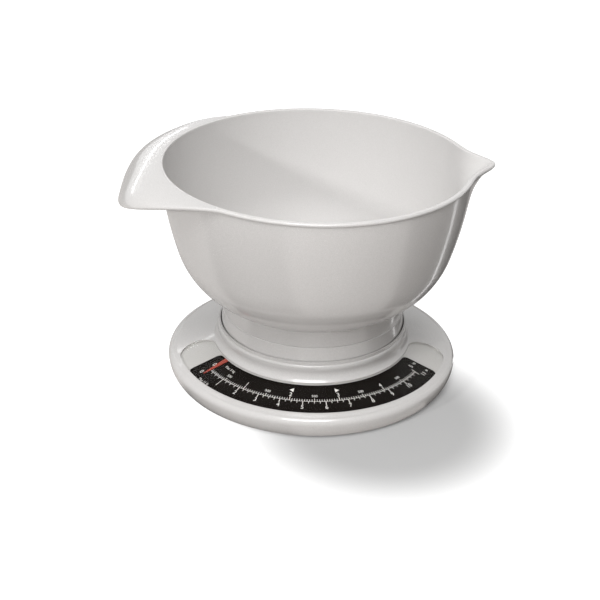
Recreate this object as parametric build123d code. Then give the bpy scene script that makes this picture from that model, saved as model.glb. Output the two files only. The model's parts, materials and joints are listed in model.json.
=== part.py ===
from build123d import *
import math
import os

# Mechanical kitchen scale with a round base, a curved dial window in front and a lift-off mixing bowl.
# Millimetres. Origin on the table under the middle of the base, +Z up, the dial faces -Y,
# the bowl's pouring lip points to +X and its handle to -X.

os.makedirs("parts", exist_ok=True)

# Base and feet
foot_pad_radius = 7.0
foot_pad_inset = 13.7
foot_lift = 1.2
foot_socket_depth = 0.8
foot_chamfer = 0.4
base_thickness = 2.5
base_edge_margin = 0.1
skirt_clearance = 0.4
housing_wall = 2.2
skirt_flare = 3.9
skirt_height = 9.2
shoulder_drop = 3.3
shoulder_round = 0.9
shoulder_dip = 0.5

# Dial cone, measured on the outer face of the window
window_width = 24.5
window_rise = 19.7
window_drop = 6.85
cone_skin = 1.2
slot_land = 0.2
edge_land = 1.2
window_half_angle = 65.0
window_corner = 3.5
lens_half_angle = 75.2
lens_clearance = 0.12
mask_gap = 0.05
mask_thickness = 0.2
mask_border = 1.6
mask_overhang = 0.3
mask_end_angle = 11.0
pointer_air = 0.35
pointer_thickness = 0.3
dial_thickness = 1.0
dial_inner_margin = 1.2
dial_end_angle = 10.0
dial_screw_angle = 76.0
dial_screw_inset = 4.0
dial_screw_bite = 4.0
dial_head_height = 0.6
dial_pillar_radius = 3.2

# Pedestal and platform
neck_opening_clearance = 0.7
neck_wall = 1.8
neck_rise = 32.7
neck_cove = 1.0
neck_cove_depth = 2.2
neck_shoulder = 2.2
neck_fillet = 2.6
neck_fillet_height = 7.5
platform_radius = 62.0
platform_taper = 0.9
platform_gap = 0.35
platform_rise = 41.9
platform_wall = 2.2
platform_top_wall = 2.4
platform_edge_break = 0.6
platform_skirt_depth = 15.1
seat_disc_height = 3.0
seat_disc_clearance = 0.5
seat_edge_break = 0.8
knob_floor = 1.7
skirt_chamfer = 1.0
full_load_travel = 5.0

# Bowl
bowl_height = 105.2
bowl_wall = 2.4
foot_ring_width = 3.1
foot_ring_flare = 0.96
belly_radius = 58.8
belly_offset = 34.8
belly_lift = 5.2
belly_end_angle = 16.7
flank_radius = 257.0
rim_lip = 1.2
rim_bead_height = 3.0
lip_reach = 13.5
lip_tip_radius = 14.5
lip_depth = 24.0
lip_blend = 9.0
lip_fade = 0.3
handle_reach = 25.0
handle_corner_reach = 28.0
handle_corner_angle = 19.0
handle_root_angle = 53.5
handle_corner_rounding = 30.0
handle_bulge = 0.44
handle_bulge_angle = 37.0
handle_curl = 32.8
handle_thickness = 3.2
handle_edge = 1.1
handle_tuck = 0.3

# Parallel arms
arm_length = 40.0
arm_thickness = 2.0
arm_spread = 24.0
arm_eye_radius = 3.6
arm_tip_radius = 2.8
arm_tie_width = 4.0
lower_pivot_rise = 9.8
upper_pivot_rise = 28.3
pivot_pin_radius = 1.5
running_clearance = 0.05
open_pivot_clearance = 0.25
sheet_thickness = 2.0
frame_depth = 14.0
frame_top_margin = 4.0
frame_foot_length = 20.0
frame_screw_side = 14.0
frame_corner = 4.0
pin_end = 0.8
side_gap = 1.0

# Carrier under the platform
carrier_half_depth = 5.0
carrier_plate_half_depth = 7.0
carrier_toe = 4.2
carrier_screw_offset = 4.0
carrier_screw_gap = 1.5
carrier_boss_radius = 3.0
carrier_nut_gap = 0.5

# Main springs
spring_side_offset = 36.0
spring_rear_offset = 8.0
spring_mean_radius = 6.0
spring_wire_radius = 0.7
spring_turns = 6
spring_guide_clearance = 0.7
spring_guide_height = 12.0
spring_spigot_length = 5.0
spring_boss_radius = 8.0

# Movement: bell crank, rack, pinion and pointer
pointer_sweep = 116.7
gear_module = 0.5
pinion_teeth = 16
pressure_angle = 20.0
tooth_height_factor = 0.8
tooth_root_factor = 1.2
tooth_backlash = 0.08
pinion_rise = 6.8
pinion_height = 4.0
rack_height = 3.0
rack_back = 4.0
rack_lead_teeth = 7
rack_tail_teeth = 2
guide_clearance = 0.3
guide_wall = 2.0
guide_front = 9.0
crank_input = 12.0
crank_pivot_rise = 28.3
crank_hub_radius = 3.2
crank_hub_left = 3.0
crank_plate = 2.0
crank_arm_width = 5.0
crank_tail = 8.0
crank_toe = 3.0
crank_heel = 2.0
crank_arm_taper = 0.6
drive_pin_radius = 1.0
drive_pin_clearance = 0.1
fork_wall = 2.0
fork_floor = 1.4
fork_rise = 0.6
rack_end = 0.6
rack_side_gap = 1.0
bracket_rise = 11.9
bracket_plate = 1.5
bracket_half_width = 16.0
bracket_front = 9.0
bracket_rear = 23.0
bracket_foot_length = 15.0
bracket_screw_setback = 3.0
bracket_screw_spacing = 9.0
ear_gap = 0.7
ear_half_width = 4.0
ear_tip_half_width = 2.0
ear_rise = 2.8
arm_slot_gap = 0.6
shaft_radius = 1.5
bush_wall = 1.3
bush_flange = 1.2
bush_flange_height = 0.5
bush_floor = 1.0
bush_end = 0.5
shaft_end_gap = 0.2
shaft_end = 0.8
lower_boss_height = 3.6
lower_boss_wall = 1.6
hub_radius = 4.0
pointer_disc_radius = 6.0
pointer_root_width = 5.0
pointer_tip_width = 0.8
pointer_tip_setback = 6.9
pointer_bend_inset = 1.5
return_coil_radius = 2.0
return_wire_radius = 0.3
return_turns = 7
return_eye_radius = 0.8
return_leg_low = 1.2
return_leg_high = 3.0

# Zero adjuster in the middle of the platform
knob_radius = 10.0
knob_height = 3.0
knob_clearance = 0.3
knob_grip_width = 3.0
knob_grip_depth = 1.8
knob_rim = 1.6
zero_screw_radius = 2.5
zero_screw_grip = 1.4
zero_nut_radius = 6.0
zero_nut_length = 5.2
zero_tip_gap = 0.2

# Fasteners
housing_screw_inset = 7.7
housing_boss_radius = 4.0
housing_screw_angles = (5.0, 62.0, 118.0, 175.0)
screw_radius = 1.5
screw_head_radius = 2.8
screw_head_height = 1.3
screw_bite = 7.0
screw_head_clearance = 0.2
screw_end_margin = 0.5
small_screw_radius = 1.1
small_head_radius = 2.1
small_head_height = 1.0
small_screw_bite = 3.0

FRONT = 270.0
PLUS_X = (1, 0, 0)


# Levels worked out from the sizes above
base_top = foot_lift + base_thickness
neck_top = base_top + neck_rise
neck_inner = platform_radius + neck_opening_clearance
neck_outer = neck_inner + neck_wall
window_inner = neck_outer + neck_fillet + slot_land
window_outer = window_inner + window_width
window_height = base_top + window_rise
cone_slope = window_drop / window_width
cone_angle = math.degrees(math.atan(cone_slope))
base_plate_radius = window_outer + base_edge_margin
foot_pad_circle = window_outer - foot_pad_inset
housing_screw_circle = window_outer - housing_screw_inset
dial_inner = neck_inner - dial_inner_margin
platform_top = base_top + platform_rise
seat_top = platform_top + seat_disc_height
ceiling = seat_top - platform_top_wall
carrier_seat = platform_top - platform_top_wall
knob_seat = carrier_seat + knob_floor
mask_depth = cone_skin + mask_gap
pointer_depth = mask_depth + mask_thickness + pointer_air
dial_depth = pointer_depth + pointer_thickness + pointer_air
arm_pivot_y = arm_length
lower_pivot_z = base_top + lower_pivot_rise
upper_pivot_z = base_top + upper_pivot_rise
arm_half_swing = math.degrees(full_load_travel / 2 / arm_length)
arm_inner = arm_spread - arm_thickness / 2
arm_outer = arm_spread + arm_thickness / 2
leg_outer = arm_inner - side_gap
leg_inner = leg_outer - sheet_thickness
cheek_inner = arm_outer + side_gap
cheek_outer = cheek_inner + sheet_thickness
pitch_radius = gear_module * pinion_teeth / 2
tooth_pitch = math.pi * gear_module
rack_travel = pitch_radius * math.radians(pointer_sweep)
crank_output = crank_input * rack_travel / full_load_travel
crank_half_swing = math.degrees(full_load_travel / 2 / crank_input)
crank_pivot_y = crank_input
crank_pivot_z = base_top + crank_pivot_rise
drive_pin_z = crank_pivot_z - crank_output
bracket_z = base_top + bracket_rise
bracket_top = bracket_z + bracket_plate
pinion_z = base_top + pinion_rise
rack_z = drive_pin_z - rack_height / 2
bush_radius = shaft_radius + running_clearance + bush_wall


# Shape helpers
def at(radius, height):
    """A point of a turned section, in the XZ plane."""
    return (radius, 0, height)


def polar(radius, angle, height=0.0):
    """A point at a radius and a compass angle about the middle."""
    turn = math.radians(angle)
    return (radius * math.cos(turn), radius * math.sin(turn), height)


def lathe(*edges):
    """Turn a closed section about the vertical axis."""
    return revolve(make_face(list(edges)), Axis.Z)


def lathe_points(*points):
    """Turn a straight-sided section about the vertical axis."""
    return lathe(Polyline(*[at(*point) for point in points], close=True))


def section_arc(center, radius, start, end):
    """An arc of a turned section between two angles, seen in the XZ plane."""
    def spot(angle):
        turn = math.radians(angle)
        return at(center[0] + radius * math.cos(turn), center[1] + radius * math.sin(turn))
    return ThreePointArc(spot(start), spot((start + end) / 2), spot(end))


def block(x, y, z):
    """A box between pairs of limits."""
    size = Box(x[1] - x[0], y[1] - y[0], z[1] - z[0])
    return Pos((x[0] + x[1]) / 2, (y[0] + y[1]) / 2, (z[0] + z[1]) / 2) * size


def post(x, y, z, radius):
    """An upright round bar between two heights."""
    return Pos(x, y, (z[0] + z[1]) / 2) * Cylinder(radius, z[1] - z[0])


def bar(x, y, z, radius):
    """A round bar along X between two limits."""
    return Pos((x[0] + x[1]) / 2, y, z) * Rot(0, 90, 0) * Cylinder(radius, x[1] - x[0])


def plate_x(x, points):
    """A sheet part with its outline in the YZ plane, between two X limits."""
    outline = Polyline(*[(x[0], *point) for point in points], close=True)
    return extrude(make_face(outline), amount=x[1] - x[0], dir=PLUS_X)


def tilted(shape, y, z, angle):
    """Turn a shape about a bar along X."""
    return Pos(0, y, z) * Rot(angle, 0, 0) * Pos(0, -y, -z) * shape


def screw(radius, head_radius, head_height, length):
    """A pan head screw, seated at the origin with its shank pointing down."""
    head = Pos(0, 0, head_height / 2) * Cylinder(head_radius, head_height)
    shank = Pos(0, 0, -length / 2) * Cylinder(radius, length)
    slot = Pos(0, 0, head_height) * Box(2 * head_radius, head_height / 2, head_height)
    return head + shank - slot


def coil(radius, wire, turns, z):
    """A round wire wound upwards about the vertical axis, in quarter turns."""
    def spot(quarter):
        share = quarter / (4 * turns)
        return polar(radius, 90 * quarter, z[0] + share * (z[1] - z[0]))
    arcs = [ThreePointArc(spot(q), spot(q + 0.5), spot(q + 1)) for q in range(4 * turns)]
    path = Wire(arcs)
    start = Plane(path @ 0, z_dir=path % 0)
    return sweep(start * Circle(wire), path=path)


def cone_height(radius, depth=0.0):
    """Height of the dial cone at a radius, a depth below the window's outer face."""
    return window_height - cone_slope * (radius - window_inner) - depth


def cone_shell(radii, depths):
    """A turned sheet that follows the dial cone."""
    corners = [(radii[0], depths[0]), (radii[1], depths[0]), (radii[1], depths[1]), (radii[0], depths[1])]
    return lathe_points(*[(radius, cone_height(radius, depth)) for radius, depth in corners])


def on_cone(radius, angle, depth):
    """Place for a small part that stands square to the dial cone."""
    return Pos(*polar(radius, angle, cone_height(radius, depth))) * Rot(0, 0, angle) * Rot(0, cone_angle, 0)


def upright(sketch):
    """A tall prism over a plan outline."""
    return extrude(sketch, amount=neck_top)


def sector_plan(inner, outer, half_angle):
    """Plan of a ring sector with square ends, in the middle of the front."""
    left, right = FRONT - half_angle, FRONT + half_angle
    return make_face([
        ThreePointArc(polar(outer, left), polar(outer, FRONT), polar(outer, right)),
        Line(polar(outer, right), polar(inner, right)),
        ThreePointArc(polar(inner, right), polar(inner, FRONT), polar(inner, left)),
        Line(polar(inner, left), polar(outer, left)),
    ])


def slot_plan(inner, outer, half_angle):
    """Plan of a ring sector with full round ends, in the middle of the front."""
    left, right = FRONT - half_angle, FRONT + half_angle
    middle, half_width = (inner + outer) / 2, (outer - inner) / 2

    def end(angle, sense):
        x, y, z = polar(middle, angle)
        dx, dy, dz = polar(half_width, angle + 90 * sense)
        return (x + dx, y + dy, z + dz)
    return make_face([
        ThreePointArc(polar(outer, left), polar(outer, FRONT), polar(outer, right)),
        ThreePointArc(polar(outer, right), end(right, 1), polar(inner, right)),
        ThreePointArc(polar(inner, right), polar(inner, FRONT), polar(inner, left)),
        ThreePointArc(polar(inner, left), end(left, -1), polar(outer, left)),
    ])


# Base plate, feet and housing
def screw_places():
    """Places of the four screws that hold the housing to the base plate."""
    return [polar(housing_screw_circle, angle) for angle in housing_screw_angles]


def foot_places():
    """Places of the four rubber pads, at the corners of a square."""
    return [polar(foot_pad_circle, 45 + 90 * corner) for corner in range(4)]


def dial_screw_spots():
    """Radius and angle of the screws at the two ends of the dial plate."""
    radii = (window_inner + dial_screw_inset, window_outer - dial_screw_inset)
    return [(radius, FRONT + side * dial_screw_angle) for radius in radii for side in (-1, 1)]


def spring_places():
    """Places of the two main springs, either side of the movement."""
    return [(side * spring_side_offset, spring_rear_offset) for side in (-1, 1)]


def base_plate():
    plate = post(0, 0, (foot_lift, base_top), base_plate_radius)
    under_dial = cone_shell((dial_inner, base_plate_radius),
                            (dial_depth + dial_thickness, dial_depth + 2 * neck_top))
    for radius, angle in dial_screw_spots():
        x, y, z = polar(radius, angle)
        pillar = post(x, y, (base_top, neck_top), dial_pillar_radius)
        plate += pillar & under_dial
    for radius, angle in dial_screw_spots():
        plate -= on_cone(radius, angle, dial_depth) * Cylinder(small_screw_radius, 2 * screw_bite)
    guide_radius = spring_mean_radius - spring_wire_radius - spring_guide_clearance
    for x, y in spring_places():
        plate += post(x, y, (base_top, base_top + spring_guide_height), guide_radius)
    boss_top = base_top + lower_boss_height
    plate += post(0, 0, (base_top, boss_top), bush_radius + lower_boss_wall)
    plate -= post(0, 0, (foot_lift + bush_floor, boss_top), bush_radius)
    for x, y, z in foot_places():
        plate -= post(x, y, (foot_lift, foot_lift + foot_socket_depth), foot_pad_radius)
    for x, y, z in screw_places():
        plate -= post(x, y, (foot_lift, base_top), screw_radius)
        plate -= post(x, y, (foot_lift, foot_lift + screw_head_height), screw_head_radius + screw_head_clearance)
    for x, y in frame_screw_places() + bracket_screw_places():
        plate -= post(x, y, (foot_lift, base_top), small_screw_radius)
    return plate


def rubber_feet():
    pads = []
    for x, y, z in foot_places():
        pad = post(x, y, (0, foot_lift + foot_socket_depth), foot_pad_radius)
        pads.append(chamfer(pad.edges().group_by(Axis.Z)[0], foot_chamfer))
    return Compound(pads)


def housing_screws():
    def fixing(place):
        turned = Rot(180, 0, 0) * screw(screw_radius, screw_head_radius, screw_head_height,
                                        base_thickness - screw_head_height + screw_bite)
        return Pos(place[0], place[1], foot_lift + screw_head_height) * turned
    return Compound([fixing(place) for place in screw_places()])


def housing_section():
    """Turned section of the housing: tucked-in skirt, shoulder, dial cone, pedestal neck."""
    skirt_inner = base_plate_radius + skirt_clearance
    skirt_outer = skirt_inner + housing_wall
    belt = skirt_outer + skirt_flare
    belt_z = foot_lift + skirt_height
    land = window_outer + edge_land
    foot_of_neck = neck_outer + neck_fillet
    shoulder_z = neck_top - neck_cove_depth - neck_shoulder
    fillet_top = cone_height(foot_of_neck) + neck_fillet_height
    inner_belt = belt - housing_wall
    corner = land + edge_land
    brow = at(belt - shoulder_drop, cone_height(belt - shoulder_drop, shoulder_dip))
    neck_foot = at(foot_of_neck, cone_height(foot_of_neck))
    neck_crown = at(neck_outer - neck_cove, shoulder_z + neck_shoulder)
    outside = [
        ThreePointArc(at(skirt_outer, foot_lift),
                      at(skirt_outer + 0.72 * skirt_flare, foot_lift + 0.5 * skirt_height), at(belt, belt_z)),
        ThreePointArc(at(belt, belt_z), at(belt - shoulder_round, belt_z + shoulder_drop), brow),
        Line(brow, at(land, cone_height(land))),
        Line(at(land, cone_height(land)), neck_foot),
        ThreePointArc(neck_foot, at(neck_outer + 0.28 * neck_fillet, neck_foot[2] + 0.28 * neck_fillet_height),
                      at(neck_outer, fillet_top)),
        Line(at(neck_outer, fillet_top), at(neck_outer, shoulder_z)),
        ThreePointArc(at(neck_outer, shoulder_z),
                      at(neck_outer - 0.3 * neck_cove, shoulder_z + 0.7 * neck_shoulder), neck_crown),
        Line(neck_crown, at(neck_outer - neck_cove, neck_top)),
        Line(at(neck_outer - neck_cove, neck_top), at(neck_inner, neck_top)),
    ]
    inside = [(neck_inner, neck_top), (neck_inner, cone_height(neck_inner, cone_skin)),
              (corner, cone_height(corner, cone_skin)), (inner_belt, belt_z), (skirt_inner, foot_lift),
              (skirt_outer, foot_lift)]
    return outside + [Polyline(*[at(*point) for point in inside])]


def window_radii(inset=0.0):
    """Inner and outer radius of the window's opening, or of a piece set in from its edge."""
    return window_inner + inset, window_outer - inset


def top_housing():
    housing = lathe(*housing_section())
    boss_reach = 2 * housing_boss_radius
    under_skin = cone_shell((housing_screw_circle - boss_reach, housing_screw_circle + boss_reach),
                            (cone_skin / 2, 2 * neck_top))
    for x, y, z in screw_places():
        housing += post(x, y, (base_top, neck_top), housing_boss_radius) & under_skin
    housing -= upright(slot_plan(*window_radii(), lens_half_angle))
    for x, y, z in screw_places():
        housing -= post(x, y, (base_top, base_top + screw_bite), screw_radius)
    return housing


def window_lens():
    inner, outer = window_radii(lens_clearance)
    sheet = cone_shell(window_radii(-mask_border), (0, cone_skin))
    return upright(slot_plan(inner, outer, lens_half_angle)) & sheet


def window_mask():
    border = sector_plan(*window_radii(-mask_border), lens_half_angle + mask_end_angle)
    window = sector_plan(*window_radii(mask_overhang), window_half_angle)
    window = fillet(window.vertices(), window_corner)
    sheet = cone_shell(window_radii(-mask_border), (mask_depth, mask_depth + mask_thickness))
    return upright(border - window) & sheet


def dial_plate():
    radii = (dial_inner, window_outer + mask_border)
    sheet = cone_shell(radii, (dial_depth, dial_depth + dial_thickness))
    dial = upright(sector_plan(*radii, lens_half_angle + dial_end_angle)) & sheet
    for radius, angle in dial_screw_spots():
        dial -= on_cone(radius, angle, dial_depth) * Cylinder(small_screw_radius, 4 * dial_thickness)
    return dial


def dial_screws():
    fixing = screw(small_screw_radius, small_head_radius, dial_head_height, dial_thickness + dial_screw_bite)
    return Compound([on_cone(radius, angle, dial_depth) * fixing for radius, angle in dial_screw_spots()])


# Parallel arms and their frame
def frame_screw_places():
    y = (arm_pivot_y - frame_foot_length / 4, arm_pivot_y + frame_foot_length / 4)
    return [(side * frame_screw_side, spot) for side in (-1, 1) for spot in y]


def mechanism_frame():
    floor_y = (arm_pivot_y - frame_foot_length / 2, arm_pivot_y + frame_foot_length / 2)
    frame = block((-cheek_outer, cheek_outer), floor_y, (base_top, base_top + sheet_thickness))
    low, high = arm_pivot_y - frame_depth / 2, arm_pivot_y + frame_depth / 2
    top = upper_pivot_z + frame_top_margin
    shoulder = upper_pivot_z - frame_top_margin / 2
    outline = [(low, base_top), (high, base_top), (high, shoulder), (high - frame_corner, top),
               (low + frame_corner, top), (low, shoulder)]
    for side in (-1, 1):
        limits = sorted((side * cheek_inner, side * cheek_outer))
        frame += plate_x(limits, outline)
    for pivot_z in (lower_pivot_z, upper_pivot_z):
        frame -= bar((-cheek_outer, cheek_outer), arm_pivot_y, pivot_z, pivot_pin_radius)
    for x, y in frame_screw_places():
        frame -= post(x, y, (base_top, base_top + sheet_thickness), small_screw_radius)
    return frame


def flat_screws(places, seat, length):
    """Small screws that hold sheet parts down."""
    fixing = screw(small_screw_radius, small_head_radius, small_head_height, length)
    return Compound([Pos(x, y, seat) * fixing for x, y in places])


def frame_screws():
    length = sheet_thickness + base_thickness - screw_end_margin
    return flat_screws(frame_screw_places(), base_top + sheet_thickness, length)


def arm_pivot_rods():
    span = (-cheek_outer - pin_end, cheek_outer + pin_end)
    return Compound([bar(span, arm_pivot_y, z, pivot_pin_radius) for z in (lower_pivot_z, upper_pivot_z)])


def parallel_arm(pivot_z):
    """A U-shaped lever, level at half load and lifted at no load."""
    tip_y = arm_pivot_y - arm_length
    outline = [(arm_pivot_y, pivot_z - 0.9 * arm_eye_radius), (arm_pivot_y, pivot_z + 0.9 * arm_eye_radius),
               (tip_y, pivot_z + 0.9 * arm_tip_radius), (tip_y, pivot_z - 0.9 * arm_tip_radius)]
    arm = None
    for side in (-1, 1):
        limits = sorted((side * arm_inner, side * arm_outer))
        cheek = plate_x(limits, outline)
        cheek += bar(limits, arm_pivot_y, pivot_z, arm_eye_radius)
        cheek += bar(limits, tip_y, pivot_z, arm_tip_radius)
        arm = cheek if arm is None else arm + cheek
    tie_y = arm_pivot_y - arm_eye_radius - arm_tie_width
    arm += block((-arm_outer, arm_outer), (tie_y - arm_tie_width / 2, tie_y + arm_tie_width / 2),
                 (pivot_z - sheet_thickness / 2, pivot_z + sheet_thickness / 2))
    arm -= bar((-arm_outer, arm_outer), arm_pivot_y, pivot_z, pivot_pin_radius + running_clearance)
    arm -= bar((-arm_outer, arm_outer), tip_y, pivot_z, pivot_pin_radius + open_pivot_clearance)
    return tilted(arm, arm_pivot_y, pivot_z, -arm_half_swing)


# Platform, its carrier and the springs under it
def carrier_screw_places():
    x = zero_nut_radius + knob_radius + carrier_screw_gap
    return [(side * x, end * carrier_screw_offset) for side in (-1, 1) for end in (-1, 1)]


def weighing_platform():
    edge = platform_radius - platform_taper
    seat_radius = edge - foot_ring_width - seat_disc_clearance
    pocket = knob_radius + knob_clearance
    gap_z = neck_top + platform_gap
    skirt_z = platform_top - platform_skirt_depth
    bore = zero_screw_radius + running_clearance
    skirt_inner = platform_radius - platform_wall
    platform = lathe_points(
        (platform_radius, skirt_z), (platform_radius, gap_z), (edge, platform_top - platform_edge_break),
        (edge - platform_edge_break, platform_top), (seat_radius, platform_top),
        (seat_radius, seat_top - seat_edge_break), (seat_radius - seat_edge_break, seat_top),
        (pocket, seat_top), (pocket, knob_seat), (bore, knob_seat),
        (bore, carrier_seat - zero_nut_length), (zero_nut_radius, carrier_seat - zero_nut_length),
        (zero_nut_radius, carrier_seat), (pocket + platform_wall, carrier_seat),
        (pocket + platform_wall, ceiling),
        (seat_radius - platform_wall, ceiling), (seat_radius - platform_wall, carrier_seat),
        (skirt_inner - skirt_chamfer, carrier_seat), (skirt_inner, carrier_seat - skirt_chamfer),
        (skirt_inner, skirt_z))
    for x, y in carrier_screw_places():
        platform += post(x, y, (carrier_seat, ceiling), carrier_boss_radius)
        platform -= post(x, y, (carrier_seat, ceiling + platform_top_wall / 2), small_screw_radius)
    guide_radius = spring_mean_radius - spring_wire_radius - spring_guide_clearance
    for x, y in spring_places():
        platform += post(x, y, (carrier_seat, ceiling), spring_boss_radius)
        platform += post(x, y, (carrier_seat - spring_spigot_length, carrier_seat), guide_radius)
    return platform


def platform_carrier():
    plate_z = (carrier_seat - sheet_thickness, carrier_seat)
    depth = (-carrier_plate_half_depth, carrier_plate_half_depth)
    carrier = block((-leg_outer, leg_outer), depth, plate_z)
    toe = lower_pivot_z + full_load_travel / 2 - carrier_toe
    outline = [(-carrier_half_depth, toe), (carrier_half_depth, toe), (carrier_half_depth, carrier_seat),
               (-carrier_half_depth, carrier_seat)]
    for side in (-1, 1):
        carrier += plate_x(sorted((side * leg_inner, side * leg_outer)), outline)
    carrier -= post(0, 0, plate_z, zero_nut_radius + carrier_nut_gap)
    for x, y in carrier_screw_places():
        carrier -= post(x, y, plate_z, small_screw_radius)
    for x0, x1, z in carrier_pin_spans():
        carrier -= bar((x0, x1), 0, z, pivot_pin_radius)
    return carrier


def carrier_pin_spans():
    """Limits and height of the four stub pins that the arms carry."""
    heights = [pivot_z + full_load_travel / 2 for pivot_z in (lower_pivot_z, upper_pivot_z)]
    reach = arm_outer + 0.6 * side_gap
    return [(*sorted((side * leg_inner, side * reach)), z) for side in (-1, 1) for z in heights]


def carrier_pins():
    return Compound([bar((x0, x1), 0, z, pivot_pin_radius) for x0, x1, z in carrier_pin_spans()])


def platform_screws():
    fixing = screw(small_screw_radius, small_head_radius, small_head_height, sheet_thickness + small_screw_bite)
    seat = carrier_seat - sheet_thickness
    return Compound([Pos(x, y, seat) * Rot(180, 0, 0) * fixing for x, y in carrier_screw_places()])


def main_springs():
    low, high = base_top + spring_wire_radius, carrier_seat - spring_wire_radius
    wound = coil(spring_mean_radius, spring_wire_radius, spring_turns, (low, high))
    return Compound([Pos(x, y, 0) * wound for x, y in spring_places()])


# Movement
def bracket_screw_places():
    x = bracket_half_width + small_head_radius
    rear = bracket_rear - bracket_screw_setback
    return [(side * x, y) for side in (-1, 1) for y in (rear - bracket_screw_spacing, rear)]


def crank_span():
    """Limits in X of the crank's hub, between the two ears of the bracket."""
    return -crank_hub_left, pitch_radius + rack_back + rack_side_gap + crank_plate


def ear_spans():
    left, right = crank_span()
    left, right = left - ear_gap, right + ear_gap
    return [(left - bracket_plate, left), (right, right + bracket_plate)]


def tail_eye():
    """Place of the crank's spring eye at no load."""
    turn = math.radians(-crank_half_swing)
    y, z = crank_tail, -crank_plate / 2
    return (crank_pivot_y + y * math.cos(turn) - z * math.sin(turn),
            crank_pivot_z + y * math.sin(turn) + z * math.cos(turn))


def movement_bracket():
    width = (-bracket_half_width, bracket_half_width)
    bracket = block(width, (-bracket_front, bracket_rear), (bracket_z, bracket_top))
    foot_reach = bracket_half_width + 2 * small_head_radius
    for side in (-1, 1):
        wall = sorted((side * (bracket_half_width - bracket_plate), side * bracket_half_width))
        bracket += block(wall, (-bracket_front, bracket_rear), (base_top, bracket_z))
        foot = sorted((side * (bracket_half_width - bracket_plate), side * foot_reach))
        foot_y = (bracket_rear - bracket_foot_length, bracket_rear)
        bracket += block(foot, foot_y, (base_top, base_top + bracket_plate))
    ear_top = crank_pivot_z + ear_rise
    y = crank_pivot_y
    for span in ear_spans():
        bracket += plate_x(span, [(y - ear_half_width, bracket_z), (y + ear_half_width, bracket_z),
                                  (y + ear_tip_half_width, ear_top), (y - ear_tip_half_width, ear_top)])
    arm_x = (crank_span()[1] - crank_plate - arm_slot_gap, crank_span()[1] + arm_slot_gap)
    swing = rack_travel / 2 + crank_arm_width / 2
    bracket -= block(arm_x, (y - swing, y + swing), (bracket_z, bracket_top))
    bracket -= post(0, 0, (bracket_z, bracket_top), bush_radius)
    eye_y, eye_z = tail_eye()
    bracket -= post(0, eye_y, (bracket_z, bracket_top), return_eye_radius)
    bracket -= bar((ear_spans()[0][0], ear_spans()[1][1]), y, crank_pivot_z, pivot_pin_radius)
    for x, spot in bracket_screw_places():
        bracket -= post(x, spot, (base_top, base_top + bracket_plate), small_screw_radius)
    return bracket


def bracket_screws():
    length = bracket_plate + base_thickness - screw_end_margin
    return flat_screws(bracket_screw_places(), base_top + bracket_plate, length)


def bearing_bushes():
    bore = shaft_radius + running_clearance
    floor, top = foot_lift + bush_floor, base_top + lower_boss_height
    lower = post(0, 0, (floor, top), bush_radius)
    lower -= post(0, 0, (floor + bush_end, top), bore)
    upper = post(0, 0, (bracket_z, bracket_top), bush_radius)
    upper += post(0, 0, (bracket_top, bracket_top + bush_flange_height), bush_radius + bush_flange)
    upper -= post(0, 0, (bracket_z, bracket_top + bush_flange_height), bore)
    return Compound([lower, upper])


def crank_pivot_pin():
    spans = ear_spans()
    return bar((spans[0][0] - pin_end, spans[1][1] + pin_end), crank_pivot_y, crank_pivot_z, pivot_pin_radius)


def bell_crank():
    left, right = crank_span()
    y, z = crank_pivot_y, crank_pivot_z
    crank = bar((left, right), y, z, crank_hub_radius)
    pad = (y - crank_input - crank_toe, y + crank_tail + crank_heel)
    crank += block((left, -left), pad, (z - crank_plate, z))
    half = crank_arm_width / 2
    tip = drive_pin_z - 2.2 * drive_pin_radius
    crank += plate_x((right - crank_plate, right),
                     [(y - half, z), (y + half, z), (y + half - crank_arm_taper, tip),
                      (y - half + crank_arm_taper, tip)])
    crank -= bar((left, right), y, z, pivot_pin_radius + running_clearance)
    crank -= bar((right - crank_plate, right), y, drive_pin_z, drive_pin_radius)
    crank -= post(0, y + crank_tail, (z - crank_plate, z), return_eye_radius)
    return tilted(crank, y, z, -crank_half_swing)


def crank_drive_pin():
    pin = bar((pitch_radius + rack_side_gap, crank_span()[1]), crank_pivot_y, drive_pin_z, drive_pin_radius)
    return tilted(pin, crank_pivot_y, crank_pivot_z, -crank_half_swing)


def crank_return_spring():
    eye_y, eye_z = tail_eye()
    low, high = bracket_top + return_leg_low, eye_z - return_leg_high
    wound = coil(return_coil_radius, return_wire_radius, return_turns, (low, high))
    for z, end in ((low, bracket_z - pin_end), (high, eye_z + crank_plate / 2 + pin_end)):
        knee = (0, 0, z + math.copysign(return_coil_radius / 2, end - z))
        path = Polyline((return_coil_radius, 0, z), knee, (0, 0, end))
        leg = sweep(Plane(path @ 0, z_dir=path % 0) * Circle(return_wire_radius), path=path)
        wound += leg
        wound += Pos(return_coil_radius, 0, z) * Sphere(return_wire_radius)
    return Pos(0, eye_y, 0) * wound


def rack_teeth_points():
    """Outline of the toothed side of the rack at no load, along +Y."""
    lean = math.tan(math.radians(pressure_angle))
    tip = gear_module * tooth_height_factor
    root = gear_module * tooth_root_factor
    half = tooth_pitch / 4 - tooth_backlash / 2
    points = []
    for tooth in range(-rack_lead_teeth, rack_tail_teeth + 1):
        y = tooth * tooth_pitch
        points += [(pitch_radius + root, y - half - root * lean), (pitch_radius - tip, y - half + tip * lean),
                   (pitch_radius - tip, y + half - tip * lean), (pitch_radius + root, y + half + root * lean)]
    return points


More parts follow.
